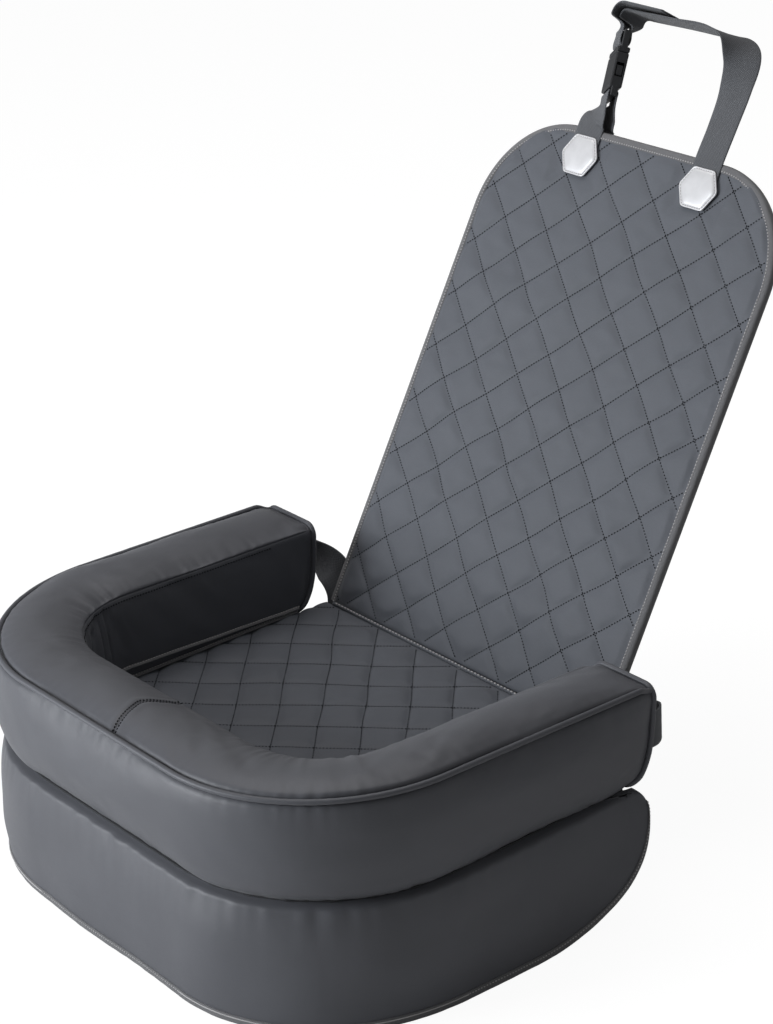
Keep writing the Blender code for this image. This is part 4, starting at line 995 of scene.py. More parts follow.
class DOGSEAT_OT_skirt(bpy.types.Operator):
    """Make the hanging skirt with its soft folds, and the tape round its free edge"""

    bl_idname = "dogseat.skirt"
    bl_label = "Skirt"

    def execute(self, context):
        sizes = context.scene.dog_seat_sizes
        straight = u_reach(SKIRT_FLAT_END)
        turn = np.linspace(0, math.pi / 2, 34)[1:]
        curve = straight + (SKIRT_REAR - SKIRT_FLAT_END) * np.sin(turn)
        half = np.concatenate([np.linspace(0, straight, 190), curve])
        spots = np.concatenate([-half[:0:-1], half])
        path = u_path(SKIRT_REAR, spots)
        edge = self.edge(path["point"][:, 1])
        behind = np.clip((path["point"][:, 1] - 0.165) / 0.02, 0, 1)
        head = BOLSTER_BOTTOM + 0.0024 + 0.0060 * behind * behind * (3 - 2 * behind)
        outer = []
        inner = []
        for part in 1 - (1 - np.linspace(0, 1, SKIRT_ROWS)) ** 1.6:
            z = edge + 0.0016 + (head - edge - 0.0016) * part
            inward = self.inward(path, z, sizes)
            outer.append(self.hung(path, inward - SKIRT_THICKNESS / 2, z))
            inner.append(self.hung(path, inward + SKIRT_THICKNESS / 2, z))
        rings = np.stack(outer + inner[::-1], axis=1)
        skirt = loft("skirt_cloth", moved(rings, SEAT), "leather", "seat")
        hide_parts("skirt_panel")

        tape = []
        wide = np.minimum(sizes.tape_width, SKIRT_END_HEIGHT / 2) + 0 * edge
        section = [
            (-1, 0.0, -0.35), (-1, 0.25, -0.1), (-1, 0.6, 0.0), (-1, 0.96, -0.1), (-1, 1.0, -0.6),
            (1, 1.0, -0.6), (1, 0.96, -0.1), (1, 0.6, 0.0), (1, 0.25, -0.1), (1, 0.0, -0.35),
        ]
        ripple = waves(np.column_stack([spots, edge, 0 * edge]), (90, 1, 1), 21) * 0.0004
        for side, share, thin in section:
            z = edge + wide * share
            reach = SKIRT_THICKNESS / 2 + 0.0013 + thin * 0.001 + ripple
            inward = self.inward(path, np.maximum(z, edge + 0.001), sizes)
            tape.append(self.hung(path, inward + side * reach, z))
        tape = np.stack(tape, axis=1)
        binding = loft("skirt_edge_tape", moved(tape, SEAT), "binding", "seat", crease=50)
        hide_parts("skirt_binding")

        z = edge + wide * 0.72
        reach = SKIRT_THICKNESS / 2 + 0.00125
        row = self.hung(path, self.inward(path, z, sizes) - reach, z)
        out = -np.column_stack([path["inward"], 0 * edge])
        even_row = even(np.column_stack([row, out]), sizes.stitch_pitch)
        threads = stitches(
            "skirt_tape_stitches", moved(even_row[:, :3], SEAT), tangents(even_row[:, :3]),
            even_row[:, 3:], "light_thread", "seat",
        )
        return {"FINISHED"}

    def edge(self, y):
        """The free edge's height: flat hem, then a curve up to the rear end."""
        share = np.clip((y - SKIRT_FLAT_END) / (SKIRT_REAR - SKIRT_FLAT_END), 0, 1)
        return (BOLSTER_BOTTOM - SKIRT_END_HEIGHT) * (1.0 - np.sqrt(1.0 - share * share))

    def inward(self, path, z, sizes):
        """How far in the skirt's middle hangs, with soft folds that grow downwards."""
        down = np.clip(1.0 - z / BOLSTER_BOTTOM, 0, 1)
        below = np.clip(1.0 - (z - SHOULDER_RISE) / BOLSTER_BOTTOM, 0, 1)
        rest = SEAM_TUCK * np.exp(-((below / 0.017) ** 2)) - SKIRT_FLARE * np.sqrt(down)
        rest = rest - SKIRT_BULGE * np.sin(math.pi * down)
        field = np.stack([path["spot"], z, 0 * z], axis=1)
        fold = waves(field, (7.5, 4, 1), 31) * sizes.skirt_wave * np.clip(down * 1.3, 0, 1)
        slack = waves(field, (14, 20, 1), 33) * 0.0030 * np.sin(math.pi * down)
        pucker = waves(field, (70, 10, 1), 35) * 0.0026 * np.exp(-down * 8)
        return rest + fold + slack + pucker * np.clip(down * 30, 0, 1)

    def hung(self, path, inward, z):
        """Points of the skirt, with its rear end sewn in under the arm."""
        points = places(path, inward, z - BOLSTER_BOTTOM)
        back = np.clip((points[:, 1] - SKIRT_FLAT_END) / (SKIRT_REAR - SKIRT_FLAT_END), 0, None)
        up = np.clip((points[:, 2] - BOLSTER_BOTTOM + SKIRT_END_HEIGHT) / SKIRT_END_HEIGHT, 0, None)
        points[:, 1] -= SKIRT_END_PULL * up * up * back**3
        return points


# Quilting


def lattice(x, y, start, sizes):
    """Distances from the two sets of crossed stitch lines, in metres."""
    tilt = math.hypot(1 / sizes.quilt_across, 1 / sizes.quilt_along)
    right = (y - start) / sizes.quilt_along + x / sizes.quilt_across
    left = (y - start) / sizes.quilt_along - x / sizes.quilt_across
    return [np.abs(line - np.round(line)) / tilt for line in (right, left)]


def sway(x, y, seed):
    """How far the stitch lines stray from straight, as two offsets."""
    spots = np.stack([x, y, 0 * x], axis=-1)
    return waves(spots, (14, 14, 1), seed) * 0.0026, waves(spots, (14, 14, 1), seed + 1) * 0.0026


def quilt_height(x, y, start, sizes, seed):
    """The cover's height over its stitch lines: pillows, each a little different."""
    off_x, off_y = sway(x, y, seed)
    one, two = lattice(x + off_x, y + off_y, start, sizes)
    pillow = 1.0
    for off_line in (one, two):
        pillow = pillow * (1 - np.exp(-((off_line / VALLEY_WIDTH) ** VALLEY_POWER)))
    spots = np.stack([x, y, 0 * x], axis=-1)
    uneven = 1.0 + waves(spots, (22, 22, 1), seed + 2) * 0.45
    creases = waves(np.stack([x + y * 0.4, y, 0 * x], axis=-1), (24, 70, 1), seed + 3) * 0.0007
    return sizes.quilt_puff * pillow * uneven + creases * pillow


def quilt_lines(start, sizes, inside, low, high, half, seed):
    """Places and directions of the quilting stitches in the cover's plane."""
    spots = []
    ways = []
    step = sizes.stitch_pitch
    slant = unit(np.array([sizes.quilt_across, -sizes.quilt_along]))
    reach = half + (high - low)
    first = math.floor((low - start) / sizes.quilt_along - half / sizes.quilt_across) - 1
    last = math.ceil((high - start) / sizes.quilt_along + half / sizes.quilt_across) + 1
    for turn in (1, -1):
        way = slant * (1, turn)
        for number in range(first, last + 1):
            along = np.arange(-reach, reach, step)
            line = np.array([0.0, start + number * sizes.quilt_along]) + along[:, None] * way
            off_x, off_y = sway(line[:, 0], line[:, 1], seed)
            line = line - np.column_stack([off_x, off_y])
            keep = inside(line[:, 0], line[:, 1])
            spots.append(line[keep])
            ways.append(np.tile(way, (int(keep.sum()), 1)))
    return np.vstack(spots), np.vstack(ways)


def panel_rings(half, rows, columns, height, rim):
    """Rings across a panel: its face, then both side edges turned back to a rim."""
    x = half[:, None] * np.linspace(-1, 1, columns)[None, :]
    along = rows[:, None] + 0 * x
    face = np.stack([x, along, height(x, along)], axis=2)
    edges = face[:, [-1, 0]]
    edges[..., 2] = rim
    return np.concatenate([face, edges], axis=1)


class DOGSEAT_OT_seat_pad(bpy.types.Operator):
    """Make the quilted seat pad, its stitching and the two bound lips round it"""

    bl_idname = "dogseat.seat_pad"
    bl_label = "Seat pad"

    def execute(self, context):
        sizes = context.scene.dog_seat_sizes
        rear = HINGE_BACK - 0.0008
        reach = u_reach(rear)
        path = u_path(rear, np.linspace(0, reach, 200))
        plan = path["point"] + path["inward"] * (thickness(path) + PAD_CLEARANCE)[:, None]
        front = plan[0, 1]
        self.plan = plan
        deep = rear - front
        rows = np.unique(np.round(np.concatenate([
            front + deep * (1 - np.cos(np.linspace(0, 0.6, 30))),
            np.linspace(front + deep * 0.18, rear, 150),
        ]), 5))
        rings = panel_rings(
            self.half_width(rows), rows, PAD_COLUMNS, lambda x, y: self.height(x, y, sizes),
            PAD_TOP - 0.0060,
        )
        pad = loft(
            "seat_pad_cover", moved(rings, SEAT), "quilt", "seat", flat=rings * (1, 1, 0), crease=60
        )
        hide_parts("seat_pad_quilt", "seat_pad_wadding")

        def inside(px, py):
            across = np.abs(px) < self.half_width(py) - 0.004
            return across & (py > front + 0.004) & (py < rear - 0.003)

        spots, ways = quilt_lines(HINGE_BACK, sizes, inside, front, rear, INNER_HALF, 41)
        lift = self.height(spots[:, 0], spots[:, 1], sizes) + 0.0002
        centres = np.column_stack([spots, lift])
        rows = stitches(
            "seat_pad_stitches", moved(centres, SEAT), np.column_stack([ways, 0 * lift]),
            (0.0, 0.0, 1.0), "thread_and_hole_shade", "seat",
        )
        self.lips(sizes)
        return {"FINISHED"}

    def half_width(self, y):
        """Half the pad's width at a distance back."""
        return np.interp(y, self.plan[:, 1], self.plan[:, 0])

    def height(self, x, y, sizes):
        """The pad's quilted top, flat where it is sewn at its edge and its fold."""
        spots = np.stack([x, y, 0 * x], axis=-1)
        soft = waves(spots, (9, 12, 1), 47) * 0.0016
        edge = np.clip((self.half_width(y) - np.abs(x)) / 0.02, 0, 1)
        edge = edge * np.clip((HINGE_BACK - y) / 0.02, 0, 1)
        near = np.clip((HINGE_BACK - y) / FOLD_FADE, 0, 1)
        return PAD_TOP + quilt_height(x, y, HINGE_BACK, sizes, 41) * near + soft * edge

    def lips(self, sizes):
        """The pad's and the band's bound edges, one over the other, close at the rear."""
        for name, node, base, rise, seed in (
            ("pad_edge_tape", "pad_seam_lip", 0.0110, 0.0, 51),
            ("band_edge_tape", "band_seam_lip", 0.0136, 0.010, 53),
        ):
            rear = HINGE_BACK - LIP_SETBACK
            reach = u_reach(rear)
            path = u_path(rear, np.linspace(-reach, reach, 420))
            low = base + rise * (1 - path["share"])
            bulge = INNER_BULGE * fade(path) * np.sin(math.pi * low / BOLSTER_HEIGHT)
            near = thickness(path) + bulge - 0.0006
            field = np.column_stack([path["spot"], low, 0 * low])
            drift = waves(field, (30, 1, 1), seed) * 0.0006
            wide = LIP_WIDTH + 0.0012 + waves(field, (60, 1, 1), seed + 1) * 0.0003
            section = [
                (0.0, 0.0), (0.3, -0.0004), (0.85, -0.0003), (1.0, 0.0005), (1.0, 0.0011),
                (0.85, 0.0019), (0.3, 0.0020), (0.0, 0.0016),
            ]
            rings = np.stack([
                places(path, near + wide * share, low + drift + up, SEAM_REACH)
                for share, up in section
            ], axis=1)
            tape = loft(name, moved(rings, SEAT), "binding", "seat")
            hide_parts(node)
            line = places(path, near + wide * 0.55, low + drift + 0.0021, SEAM_REACH)
            line = even(line, sizes.stitch_pitch)
            threads = stitches(
                f"{name}_stitches", moved(line, SEAT), tangents(line), (0.0, 0.0, 1.0),
                "light_thread", "seat",
            )


def backrest_half(z, inset=0.0):
    """Half the backrest's width at a height up it."""
    corner = BACKREST_CORNER - inset
    over = np.clip(z - (BACKREST_LENGTH - BACKREST_CORNER), 0, corner)
    return BACKREST_HALF - BACKREST_CORNER + np.sqrt(np.maximum(corner**2 - over**2, 0))


def backrest_edge(inset):
    """The backrest's outline, up its left side and down its right."""
    corner = BACKREST_CORNER - inset
    angle = np.linspace(math.pi, math.pi / 2, 60)
    turn_x = BACKREST_HALF - BACKREST_CORNER
    turn_z = BACKREST_LENGTH - BACKREST_CORNER
    side = np.linspace(0.0026, turn_z, 110)[:-1]
    left = np.column_stack([np.full(len(side), -(turn_x + corner)), side])
    bend = np.column_stack([-turn_x + corner * np.cos(angle), turn_z + corner * np.sin(angle)])
    over = np.linspace(-turn_x, 0, 40)[1:]
    top = np.column_stack([over, np.full(len(over), turn_z + corner)])
    half = np.vstack([left, bend, top])
    mirror = half[-2::-1] * (-1, 1)
    return np.vstack([half, mirror])


def at_depth(spots, depth):
    """Places on the backrest, given across and up it, at a depth behind its front."""
    return np.column_stack([spots[:, 0], depth + 0 * spots[:, 0], spots[:, 1]])


def turned(ways):
    """Directions carried from the backrest's frame."""
    return np.asarray(ways) @ np.array(BACKREST.to_3x3()).T


def panel_sag(x, z):
    """How far the soft panel bows out of flat: broad folds across it."""
    spots = np.stack([x, z, 0 * x], axis=-1)
    edge = np.clip((BACKREST_HALF - np.abs(x)) / 0.05, 0, 1) * np.clip(z / 0.06, 0, 1)
    edge = edge * np.clip((BACKREST_LENGTH - z) / 0.09, 0, 1)
    folds = waves(np.stack([x + z * 0.5, z, 0 * x], axis=-1), (9, 20, 1), 61) * 0.0044
    sag = edge * (folds + waves(spots, (5, 6, 1), 63) * 0.0030)
    outward = (sag + np.hypot(sag, 0.001)) / 2
    return outward + (sag - outward) * 0.3


class DOGSEAT_OT_backrest(bpy.types.Operator):
    """Make the quilted backrest, its backing, its stitching and its bound edge"""

    bl_idname = "dogseat.backrest"
    bl_label = "Backrest"

    def execute(self, context):
        sizes = context.scene.dog_seat_sizes
        low = 0.0009
        high = BACKREST_LENGTH - 0.0025
        rows = np.concatenate([
            np.linspace(low, BACKREST_LENGTH - 0.06, 230),
            high - 0.0575 * (1 - np.sin(np.linspace(0.03, math.pi / 2, 44))),
        ])
        rings = panel_rings(
            backrest_half(rows, COVER_INSET), rows, BACKREST_COLUMNS,
            lambda x, z: self.front(x, z, sizes), COVER_FRONT + 0.0030,
        )
        cover = loft(
            "backrest_cover", moved(rings[..., [0, 2, 1]], BACKREST), "quilt", "backrest",
            flat=rings * (1, 1, 0), crease=60,
        )
        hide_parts("backrest_quilt", "backrest_wadding")

        def inside(px, pz):
            width = backrest_half(pz, sizes.tape_width)
            clear = (np.abs(px) < width - 0.001) & (pz > 0.006)
            return clear & (pz < BACKREST_LENGTH - sizes.tape_width - 0.001)

        spots, ways = quilt_lines(0.0, sizes, inside, low, high, BACKREST_HALF, 71)
        centres = at_depth(spots, self.front(spots[:, 0], spots[:, 1], sizes) - 0.0002)
        rows = stitches(
            "backrest_stitches", moved(centres, BACKREST), turned(at_depth(ways, 0.0)),
            turned((0.0, -1.0, 0.0)), "thread_and_hole_shade", "backrest",
        )
        self.backing(sizes)
        self.binding(sizes)
        return {"FINISHED"}

    def front(self, x, z, sizes):
        """The front cover's depth, quilted, and pressed flat under the patches."""
        under = (np.abs(np.abs(x) - STRAP_SPREAD) - sizes.patch_width / 2) / 0.012
        below = (BACKREST_LENGTH - PATCH_BELOW_EDGE - sizes.patch_height / 2 - z) / 0.014
        free = np.clip(np.maximum(under, below), 0, 1)
        across = backrest_half(z) - np.abs(x) - sizes.tape_width + 0.002
        border = np.clip(across / 0.008, 0, 1)
        border = border * np.clip((BACKREST_LENGTH - sizes.tape_width + 0.002 - z) / 0.008, 0, 1)
        near = np.clip(z / FOLD_FADE, 0, 1)
        lift = quilt_height(x, z, 0.0, sizes, 71) * free * border * near
        tuck = 0.0032 * np.clip(1 - z / 0.006, 0, 1) ** 2
        return COVER_FRONT + tuck - lift - panel_sag(x, z) * free

    def backing(self, sizes):
        """The plain cloth behind, which shows the quilting through it faintly."""
        high = BACKREST_LENGTH - COVER_INSET
        rows = np.unique(np.concatenate([
            np.linspace(0.0026, high, 150), high - np.geomspace(0.0002, 0.003, 6),
        ]))

        def depth(x, z):
            one, two = lattice(x, z, 0.0, sizes)
            dent = np.exp(-np.minimum(one, two) / 0.004) * 0.0010
            return BACK_FACE - dent - panel_sag(x, z) * 0.8

        rings = panel_rings(
            backrest_half(rows, COVER_INSET), rows, BACKING_COLUMNS, depth, BACK_FACE - 0.003
        )
        sheet = loft(
            "backrest_back_cloth", moved(rings[..., [0, 2, 1]], BACKREST), "backing", "backrest",
            crease=60,
        )
        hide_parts("backrest_backing")

    def binding(self, sizes):
        """Tape folded over the edge, sewn through near its inner edges."""
        wide = sizes.tape_width
        section = [
            (wide, 0.0030), (wide, 0.0014), (wide - 0.0007, 0.0009), (wide * 0.6, 0.0006),
            (0.0022, 0.0009), (0.0006, 0.0022), (0.0, 0.0046), (0.0006, 0.0082),
            (0.0022, 0.0096), (wide * 0.6, 0.0098), (wide - 0.0007, 0.0096), (wide, 0.0091),
            (wide, 0.0078),
        ]
        rings = np.stack(
            [at_depth(backrest_edge(inset), depth) for inset, depth in section], axis=1
        )
        ripple = waves(rings.mean(axis=1), (110, 110, 110), 81) * 0.0004
        rings[:, :5, 1] += ripple[:, None]
        tape = loft("backrest_edge_tape", moved(rings, BACKREST), "binding", "backrest", crease=50)
        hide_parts("backrest_binding")
        for name, depth, out in (("front", 0.0007, -1.0), ("back", 0.0098, 1.0)):
            centres = at_depth(even(backrest_edge(wide * 0.78), sizes.stitch_pitch), depth)
            rows = stitches(
                f"backrest_tape_stitches_{name}", moved(centres, BACKREST),
                turned(tangents(centres)), turned((0.0, out, 0.0)), "light_thread", "backrest",
            )


class DOGSEAT_OT_fold(bpy.types.Operator):
    """Make the sewn fold between the seat pad and the backrest"""

    bl_idname = "dogseat.fold"
    bl_label = "Fold seam"

    def execute(self, context):
        sizes = context.scene.dog_seat_sizes
        length = BACKREST_HALF - 0.009
        line = [(x, HINGE_BACK, HINGE_Z) for x in np.linspace(-length, length, 200)]
        roll = cord_piece("fold_roll", moved(line, SEAT), 0.0019, "quilt", "seat", (0, 0, 1))
        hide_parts("fold_seam")
        spots = np.arange(0.006 - length, length - 0.006, sizes.stitch_pitch * 1.5)
        centres = [(x, HINGE_BACK - 0.0007, HINGE_Z + 0.0018) for x in spots]
        rows = stitches(
            "fold_stitches", moved(centres, SEAT), (1.0, 0.0, 0.0), (0.0, -0.35, 1.0),
            "light_thread", "seat", radius=sizes.thread_radius * 1.4,
            length=sizes.stitch_pitch * 0.9,
        )
        return {"FINISHED"}


class DOGSEAT_OT_patches(bpy.types.Operator):
    """Make the two puffed six-sided patches over the straps' sewn ends"""

    bl_idname = "dogseat.patches"
    bl_label = "Patches"

    def execute(self, context):
        sizes = context.scene.dog_seat_sizes
        wide = sizes.patch_width / 2
        tall = sizes.patch_height / 2
        flat = wide * 0.55
        corners = np.array([
            (-flat, tall), (-wide, 0), (-flat, -tall), (flat, -tall), (wide, 0), (flat, tall),
        ])
        outline = self.rounded(corners, 0.0035)
        for side, sign in SIDES.items():
            middle = np.array([sign * STRAP_SPREAD, BACKREST_LENGTH - PATCH_BELOW_EDGE])
            rings = []
            profile = (
                (1.0, 0.0), (1.0, 0.0009), (0.985, 0.0013), (0.955, 0.0014), (0.93, 0.0012),
                (0.915, 0.0007), (0.90, 0.0012), (0.87, 0.0018), (0.75, 0.0023), (0.5, 0.0026),
                (0.2, 0.0027),
            )
            for share, lift in profile:
                spots = middle + outline * share
                dent = waves(np.column_stack([spots, 0 * spots[:, 0]]), (70, 70, 1), 91 + sign)
                depth = STRAP_FRONT - 0.0012 - lift - dent * 0.0003 * (1 - share)
                rings.append(at_depth(spots, depth))
            patch = loft(f"silver_patch_{side}", moved(rings, BACKREST), "patch", "backrest")
            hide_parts(f"patch_{side}")
            line = even(outline * 0.915, 0.0032, closed=True) + middle
            centres = at_depth(line, STRAP_FRONT - 0.0021)
            rows = stitches(
                f"silver_patch_stitches_{side}", moved(centres, BACKREST),
                turned(tangents(centres, True)), turned((0.0, -1.0, 0.0)), "light_thread",
                "backrest", length=SEAM_STITCH,
            )
        return {"FINISHED"}

    def rounded(self, corners, radius):
        """A polygon's outline with rounded corners, as closely spaced points."""
        points = []
        count = len(corners)
        for i, corner in enumerate(corners):
            before = unit(corners[i - 1] - corner)
            after = unit(corners[(i + 1) % count] - corner)
            start = corner + before * radius
            end = corner + after * radius
            for share in np.linspace(0, 1, 7):
                rest = 1 - share
                points.append(rest**2 * start + 2 * share * rest * corner + share**2 * end)
        return even(np.array(points), 0.0012, closed=True)


# Webbing


def smooth_run(keys, steps):
    """Smooth places between keyed places, each a point and the direction of a width."""
    points = np.array([[*key[0], *key[1]] for key in keys], dtype=float)
    spans = np.linalg.norm(np.diff(points[:, :3], axis=0), axis=1)
    slopes = np.diff(points, axis=0) / spans[:, None]
    weighed = slopes[:-1] * spans[1:, None] + slopes[1:] * spans[:-1, None]
    middle = weighed / (spans[:-1] + spans[1:])[:, None]
    ends = np.vstack([slopes[:1], middle, slopes[-1:]])
    run = []
    for i, span in enumerate(spans):
        count = max(2, min(steps, round(span / 0.0015)))
        for t in np.linspace(0, 1, count, endpoint=False):
            run.append(
                points[i] * (2 * t**3 - 3 * t**2 + 1) + ends[i] * span * (t**3 - 2 * t**2 + t)
                + points[i + 1] * (3 * t**2 - 2 * t**3) + ends[i + 1] * span * (t**3 - t**2)
            )
    run.append(points[-1])
    return np.array(run)


def webbing(name, keys, body, node, steps=14, square_start=True):
    """Woven strap with rounded edges along keyed places, replacing its solid."""
    run = smooth_run(keys, steps)
    path = run[:, :3]
    along = tangents(path)
    across = run[:, 3:]
    fixed = across - along * (along * across).sum(axis=1)[:, None]
    if not square_start:
        fixed[0] = across[0]
    across = unit(fixed)
    face = unit(np.cross(along, across))
    half = WEBBING_WIDTH / 2
    thick = WEBBING_THICKNESS / 2
    spread = np.array([-1, -0.98, -0.92, -0.6, -0.3, 0, 0.3, 0.6, 0.92, 0.98, 1.0])
    plump = np.array([0.15, 0.75, 1.0, 0.94, 1.0, 0.94, 1.0, 0.94, 1.0, 0.75, 0.15])
    spread = np.concatenate([spread, spread[-2:0:-1]])
    plump = np.concatenate([plump, -plump[-2:0:-1]])
    rings = (
        path[:, None] + across[:, None] * (spread * half)[None, :, None]
        + face[:, None] * (plump * thick)[None, :, None]
    )
    flat = np.zeros(rings.shape)
    flat[..., 0] = distances(path)[:, None]
    flat[..., 1] = (spread * half)[None, :]
    strap = loft(name, rings, "webbing", body, flat=flat)
    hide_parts(node)
    return strap


def bar_wrap(place, edge, toward, reach):
    """Keyed places of webbing round a buckle's bar, up one face and down the other."""
    thin = BAR_THICKNESS / 2
    stand = WEBBING_THICKNESS / 2 + GAP
    turn = stand * math.sin(math.radians(45))
    width = place.to_3x3() @ Vector((1, 0, 0))
    half = [
        (thin + stand, edge - toward * (reach + BAR)),
        (thin + stand, edge - toward * reach), (thin + stand, edge),
        (thin + turn, edge + toward * turn), (thin, edge + toward * stand),
    ]
    shape = half + [(-y, z) for y, z in reversed(half)]
    return [(place @ Vector((0, y, z)), width) for y, z in shape]


def carried(keys, matrix):
    """Keyed places carried by a matrix."""
    return [(matrix @ Vector(point), matrix.to_3x3() @ Vector(width)) for point, width in keys]


class DOGSEAT_OT_headrest_straps(bpy.types.Operator):
    """Make the headrest loop's long strap and the short doubled strap to its socket"""

    bl_idname = "dogseat.headrest_straps"
    bl_label = "Headrest straps"

    def execute(self, context):
        deep = (COVER_FRONT + BACK_FACE) / 2
        rise = BACKREST_LENGTH + HEADREST_BUCKLE_RISE
        place = (
            Matrix.Translation((-HEADREST_BUCKLE_SIDE, deep, rise))
            @ Matrix.Rotation(-HEADREST_BUCKLE_LEAN, 4, "Y")
            @ Matrix.Rotation(HEADREST_BUCKLE_TWIST, 4, "Z")
        )
        self.short(place)
        self.long(place, deep)
        return {"FINISHED"}

    def short(self, place):
        """Up from the left patch, round the socket's bar and down the backrest's rear."""
        across = Vector((1, 0, 0))
        halfway = (across + place.to_3x3() @ across).normalized()
        edge = BACKREST_LENGTH
        left = -STRAP_SPREAD
        rear = left + BACK_LAYER_INSET
        mid_z = edge + HEADREST_BUCKLE_RISE * 0.45
        mid_x = -(STRAP_SPREAD + HEADREST_BUCKLE_SIDE) / 2
        wrap = bar_wrap(place, BAR, 1, BAR)
        keys = [
            ((left, STRAP_FRONT, edge - STRAP_TUCK), across),
            ((left, STRAP_FRONT, edge), across),
            ((left, STRAP_FRONT, edge + STRAP_FLAT_RISE), across),
            ((mid_x, STRAP_FRONT, mid_z), halfway),
        ] + wrap[::-1] + [
            ((mid_x + BACK_LAYER_INSET, STRAP_BACK, mid_z), halfway),
            ((rear, STRAP_BACK, edge + STRAP_FLAT_RISE), across),
            ((rear, STRAP_BACK, edge), across),
            ((rear, STRAP_BACK, edge - STRAP_TUCK * 0.8), across),
        ]
        strap = webbing(
            "headrest_short_webbing", carried(keys, BACKREST), None, "headrest_short_strap"
        )
        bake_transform(strap)

    def long(self, place, deep):
        """Up from the right patch, over to the left, and round the plug's ladder bar."""
        across = Vector((1, 0, 0))
        rear = Vector((0, 1, 0))
        edge = BACKREST_LENGTH
        top = edge + LOOP_RISE
        spread = STRAP_SPREAD

        def over_bend(lift, shift):
            """Places over the corner above the plug, from the top run down."""
            radius = BEND_RADIUS + lift
            side = BEND_RADIUS - spread * BEND_SIDE_SHARE
            centre = Vector((side, deep + shift, top - BEND_RADIUS))
            run = [(BEND_RADIUS, radius)]
            for angle in np.radians((90, 120, 150, 180)):
                run.append((radius * math.cos(angle), radius * math.sin(angle)))
            run.append((-radius, -BEND_STRAIGHT))
            return [(centre + Vector((x, 0, z)), rear) for x, z in run]

        round_plug = [
            (point, -width) for point, width in bar_wrap(place, LADDER, -1, BUCKLE_LENGTH - LADDER)
        ]
        keys = [
            ((spread, STRAP_FRONT, edge - STRAP_TUCK), across),
            ((spread, STRAP_FRONT, edge), across),
            ((spread, STRAP_FRONT, edge + WEBBING_THICKNESS), across),
            ((spread * 0.99, deep * 0.5, edge + LOOP_RISE * 0.28), across),
            ((spread * 0.95, deep, edge + LOOP_RISE * 0.60), (1, 0.15, 0)),
            ((spread * 0.86, deep, edge + LOOP_RISE * 0.86), (0.85, 0.6, 0.2)),
            ((spread * 0.66, deep, edge + LOOP_RISE * 0.98), (0.3, 0.95, 0.2)),
            ((spread * 0.40, deep, top), rear),
            ((-spread * 0.20, deep, top), rear),
        ] + over_bend(0.0, BEND_SHIFT) + round_plug + over_bend(TAIL_STAND, -BEND_SHIFT)[::-1] + [
            ((-spread * 0.70, deep - BEND_SHIFT * 0.6, top + TAIL_STAND), rear),
            ((-spread * 0.42, deep, top + TAIL_STAND), rear),
        ]
        webbing("headrest_long_webbing", carried(keys, BACKREST), "backrest", "headrest_long_strap")


class DOGSEAT_OT_belt(bpy.types.Operator):
    """Make the belt's two straps, from the arms' ends to the buckle behind the seat"""

    bl_idname = "dogseat.belt"
    bl_label = "Belt straps"

    def execute(self, context):
        up = Vector((0, 0, 1))
        deep = Vector((0, 1, 0))
        exit_z = BOLSTER_BOTTOM + BELT_EXIT_HEIGHT
        half = WEBBING_WIDTH / 2
        heights = np.array([exit_z, exit_z - half, exit_z + half])
        face, low_face, high_face = leaning(
            np.column_stack([0 * heights, np.full(3, HALF_DEPTH), heights])
        )[:, 1]
        slope = Vector((0, high_face - low_face, WEBBING_WIDTH)).normalized()
        far = HALF_DEPTH + BELT_STANDOFF
        low_y = HALF_DEPTH + BELT_BUCKLE_BACK
        side_x = HALF_WIDTH - BELT_EXIT_INSET
        drop_x = INNER_HALF + BELT_DROP_OUTSET
        turn = BELT_TURN
        shared = [
            ((side_x, face - 0.002, exit_z), slope),
            ((side_x + turn * 0.2, far - turn * 1.5, exit_z), up),
            ((side_x - turn * 0.8, far, exit_z), up),
            ((side_x - turn * 3.5, far, exit_z - turn * 0.3), up),
            ((drop_x + turn * 0.9, far + turn * 0.5, exit_z - turn * 2), up + deep * 0.9),
            ((drop_x, far + turn, exit_z - turn * 5), deep + up * 0.15),
            ((drop_x, far + turn, (exit_z + BELT_LOW) / 2 - turn), deep),
            ((drop_x - turn * 2, low_y, BELT_LOW + turn * 1.2), deep),
            ((drop_x - turn * 6, low_y, BELT_LOW), deep + up * 0.2),
            ((drop_x - turn * 13, low_y, BELT_LOW), deep * 0.6 + up),
        ]
        mirrored = carried(shared, Matrix.Scale(-1, 4, (1, 0, 0)))
        place = Matrix.Translation(
            (BUCKLE_LENGTH / 2, low_y, BELT_LOW)
        ) @ Matrix.Rotation(math.radians(-90), 4, "Y")
        right_end = bar_wrap(place, BAR, 1, BAR * 4)
        left_end = bar_wrap(place, LADDER, -1, BUCKLE_LENGTH - LADDER + BAR * 3)
        for side, keys in (("right", shared + right_end), ("left", mirrored + left_end)):
            strap = webbing(
                f"belt_webbing_{side}", carried(keys, SEAT), "seat" if side == "left" else None,
                f"belt_strap_{side}", square_start=False,
            )
            if side == "right":
                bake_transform(strap)
        return {"FINISHED"}


class DOGSEAT_OT_solids(bpy.types.Operator):
    """Finish the solids that stay: the buckles and the base panel"""

    bl_idname = "dogseat.solids"
    bl_label = "Buckles and base"

    def execute(self, context):
        for name, node in frame["nodes"].items():
            if name == "base_panel":
                kind = "base"
            elif name.startswith(("headrest_", "belt_")) and "strap" not in name:
                kind = "plastic"
                bevel = node.modifiers.new("moulded edges", "BEVEL")
                bevel.width = EDGE_BEVEL
                bevel.segments = 2
                bevel.limit_method = "ANGLE"
                bevel.angle_limit = math.radians(40)
            else:
                continue
            for slot in node.material_slots:
                slot.material = finish_of(kind)
        return {"FINISHED"}


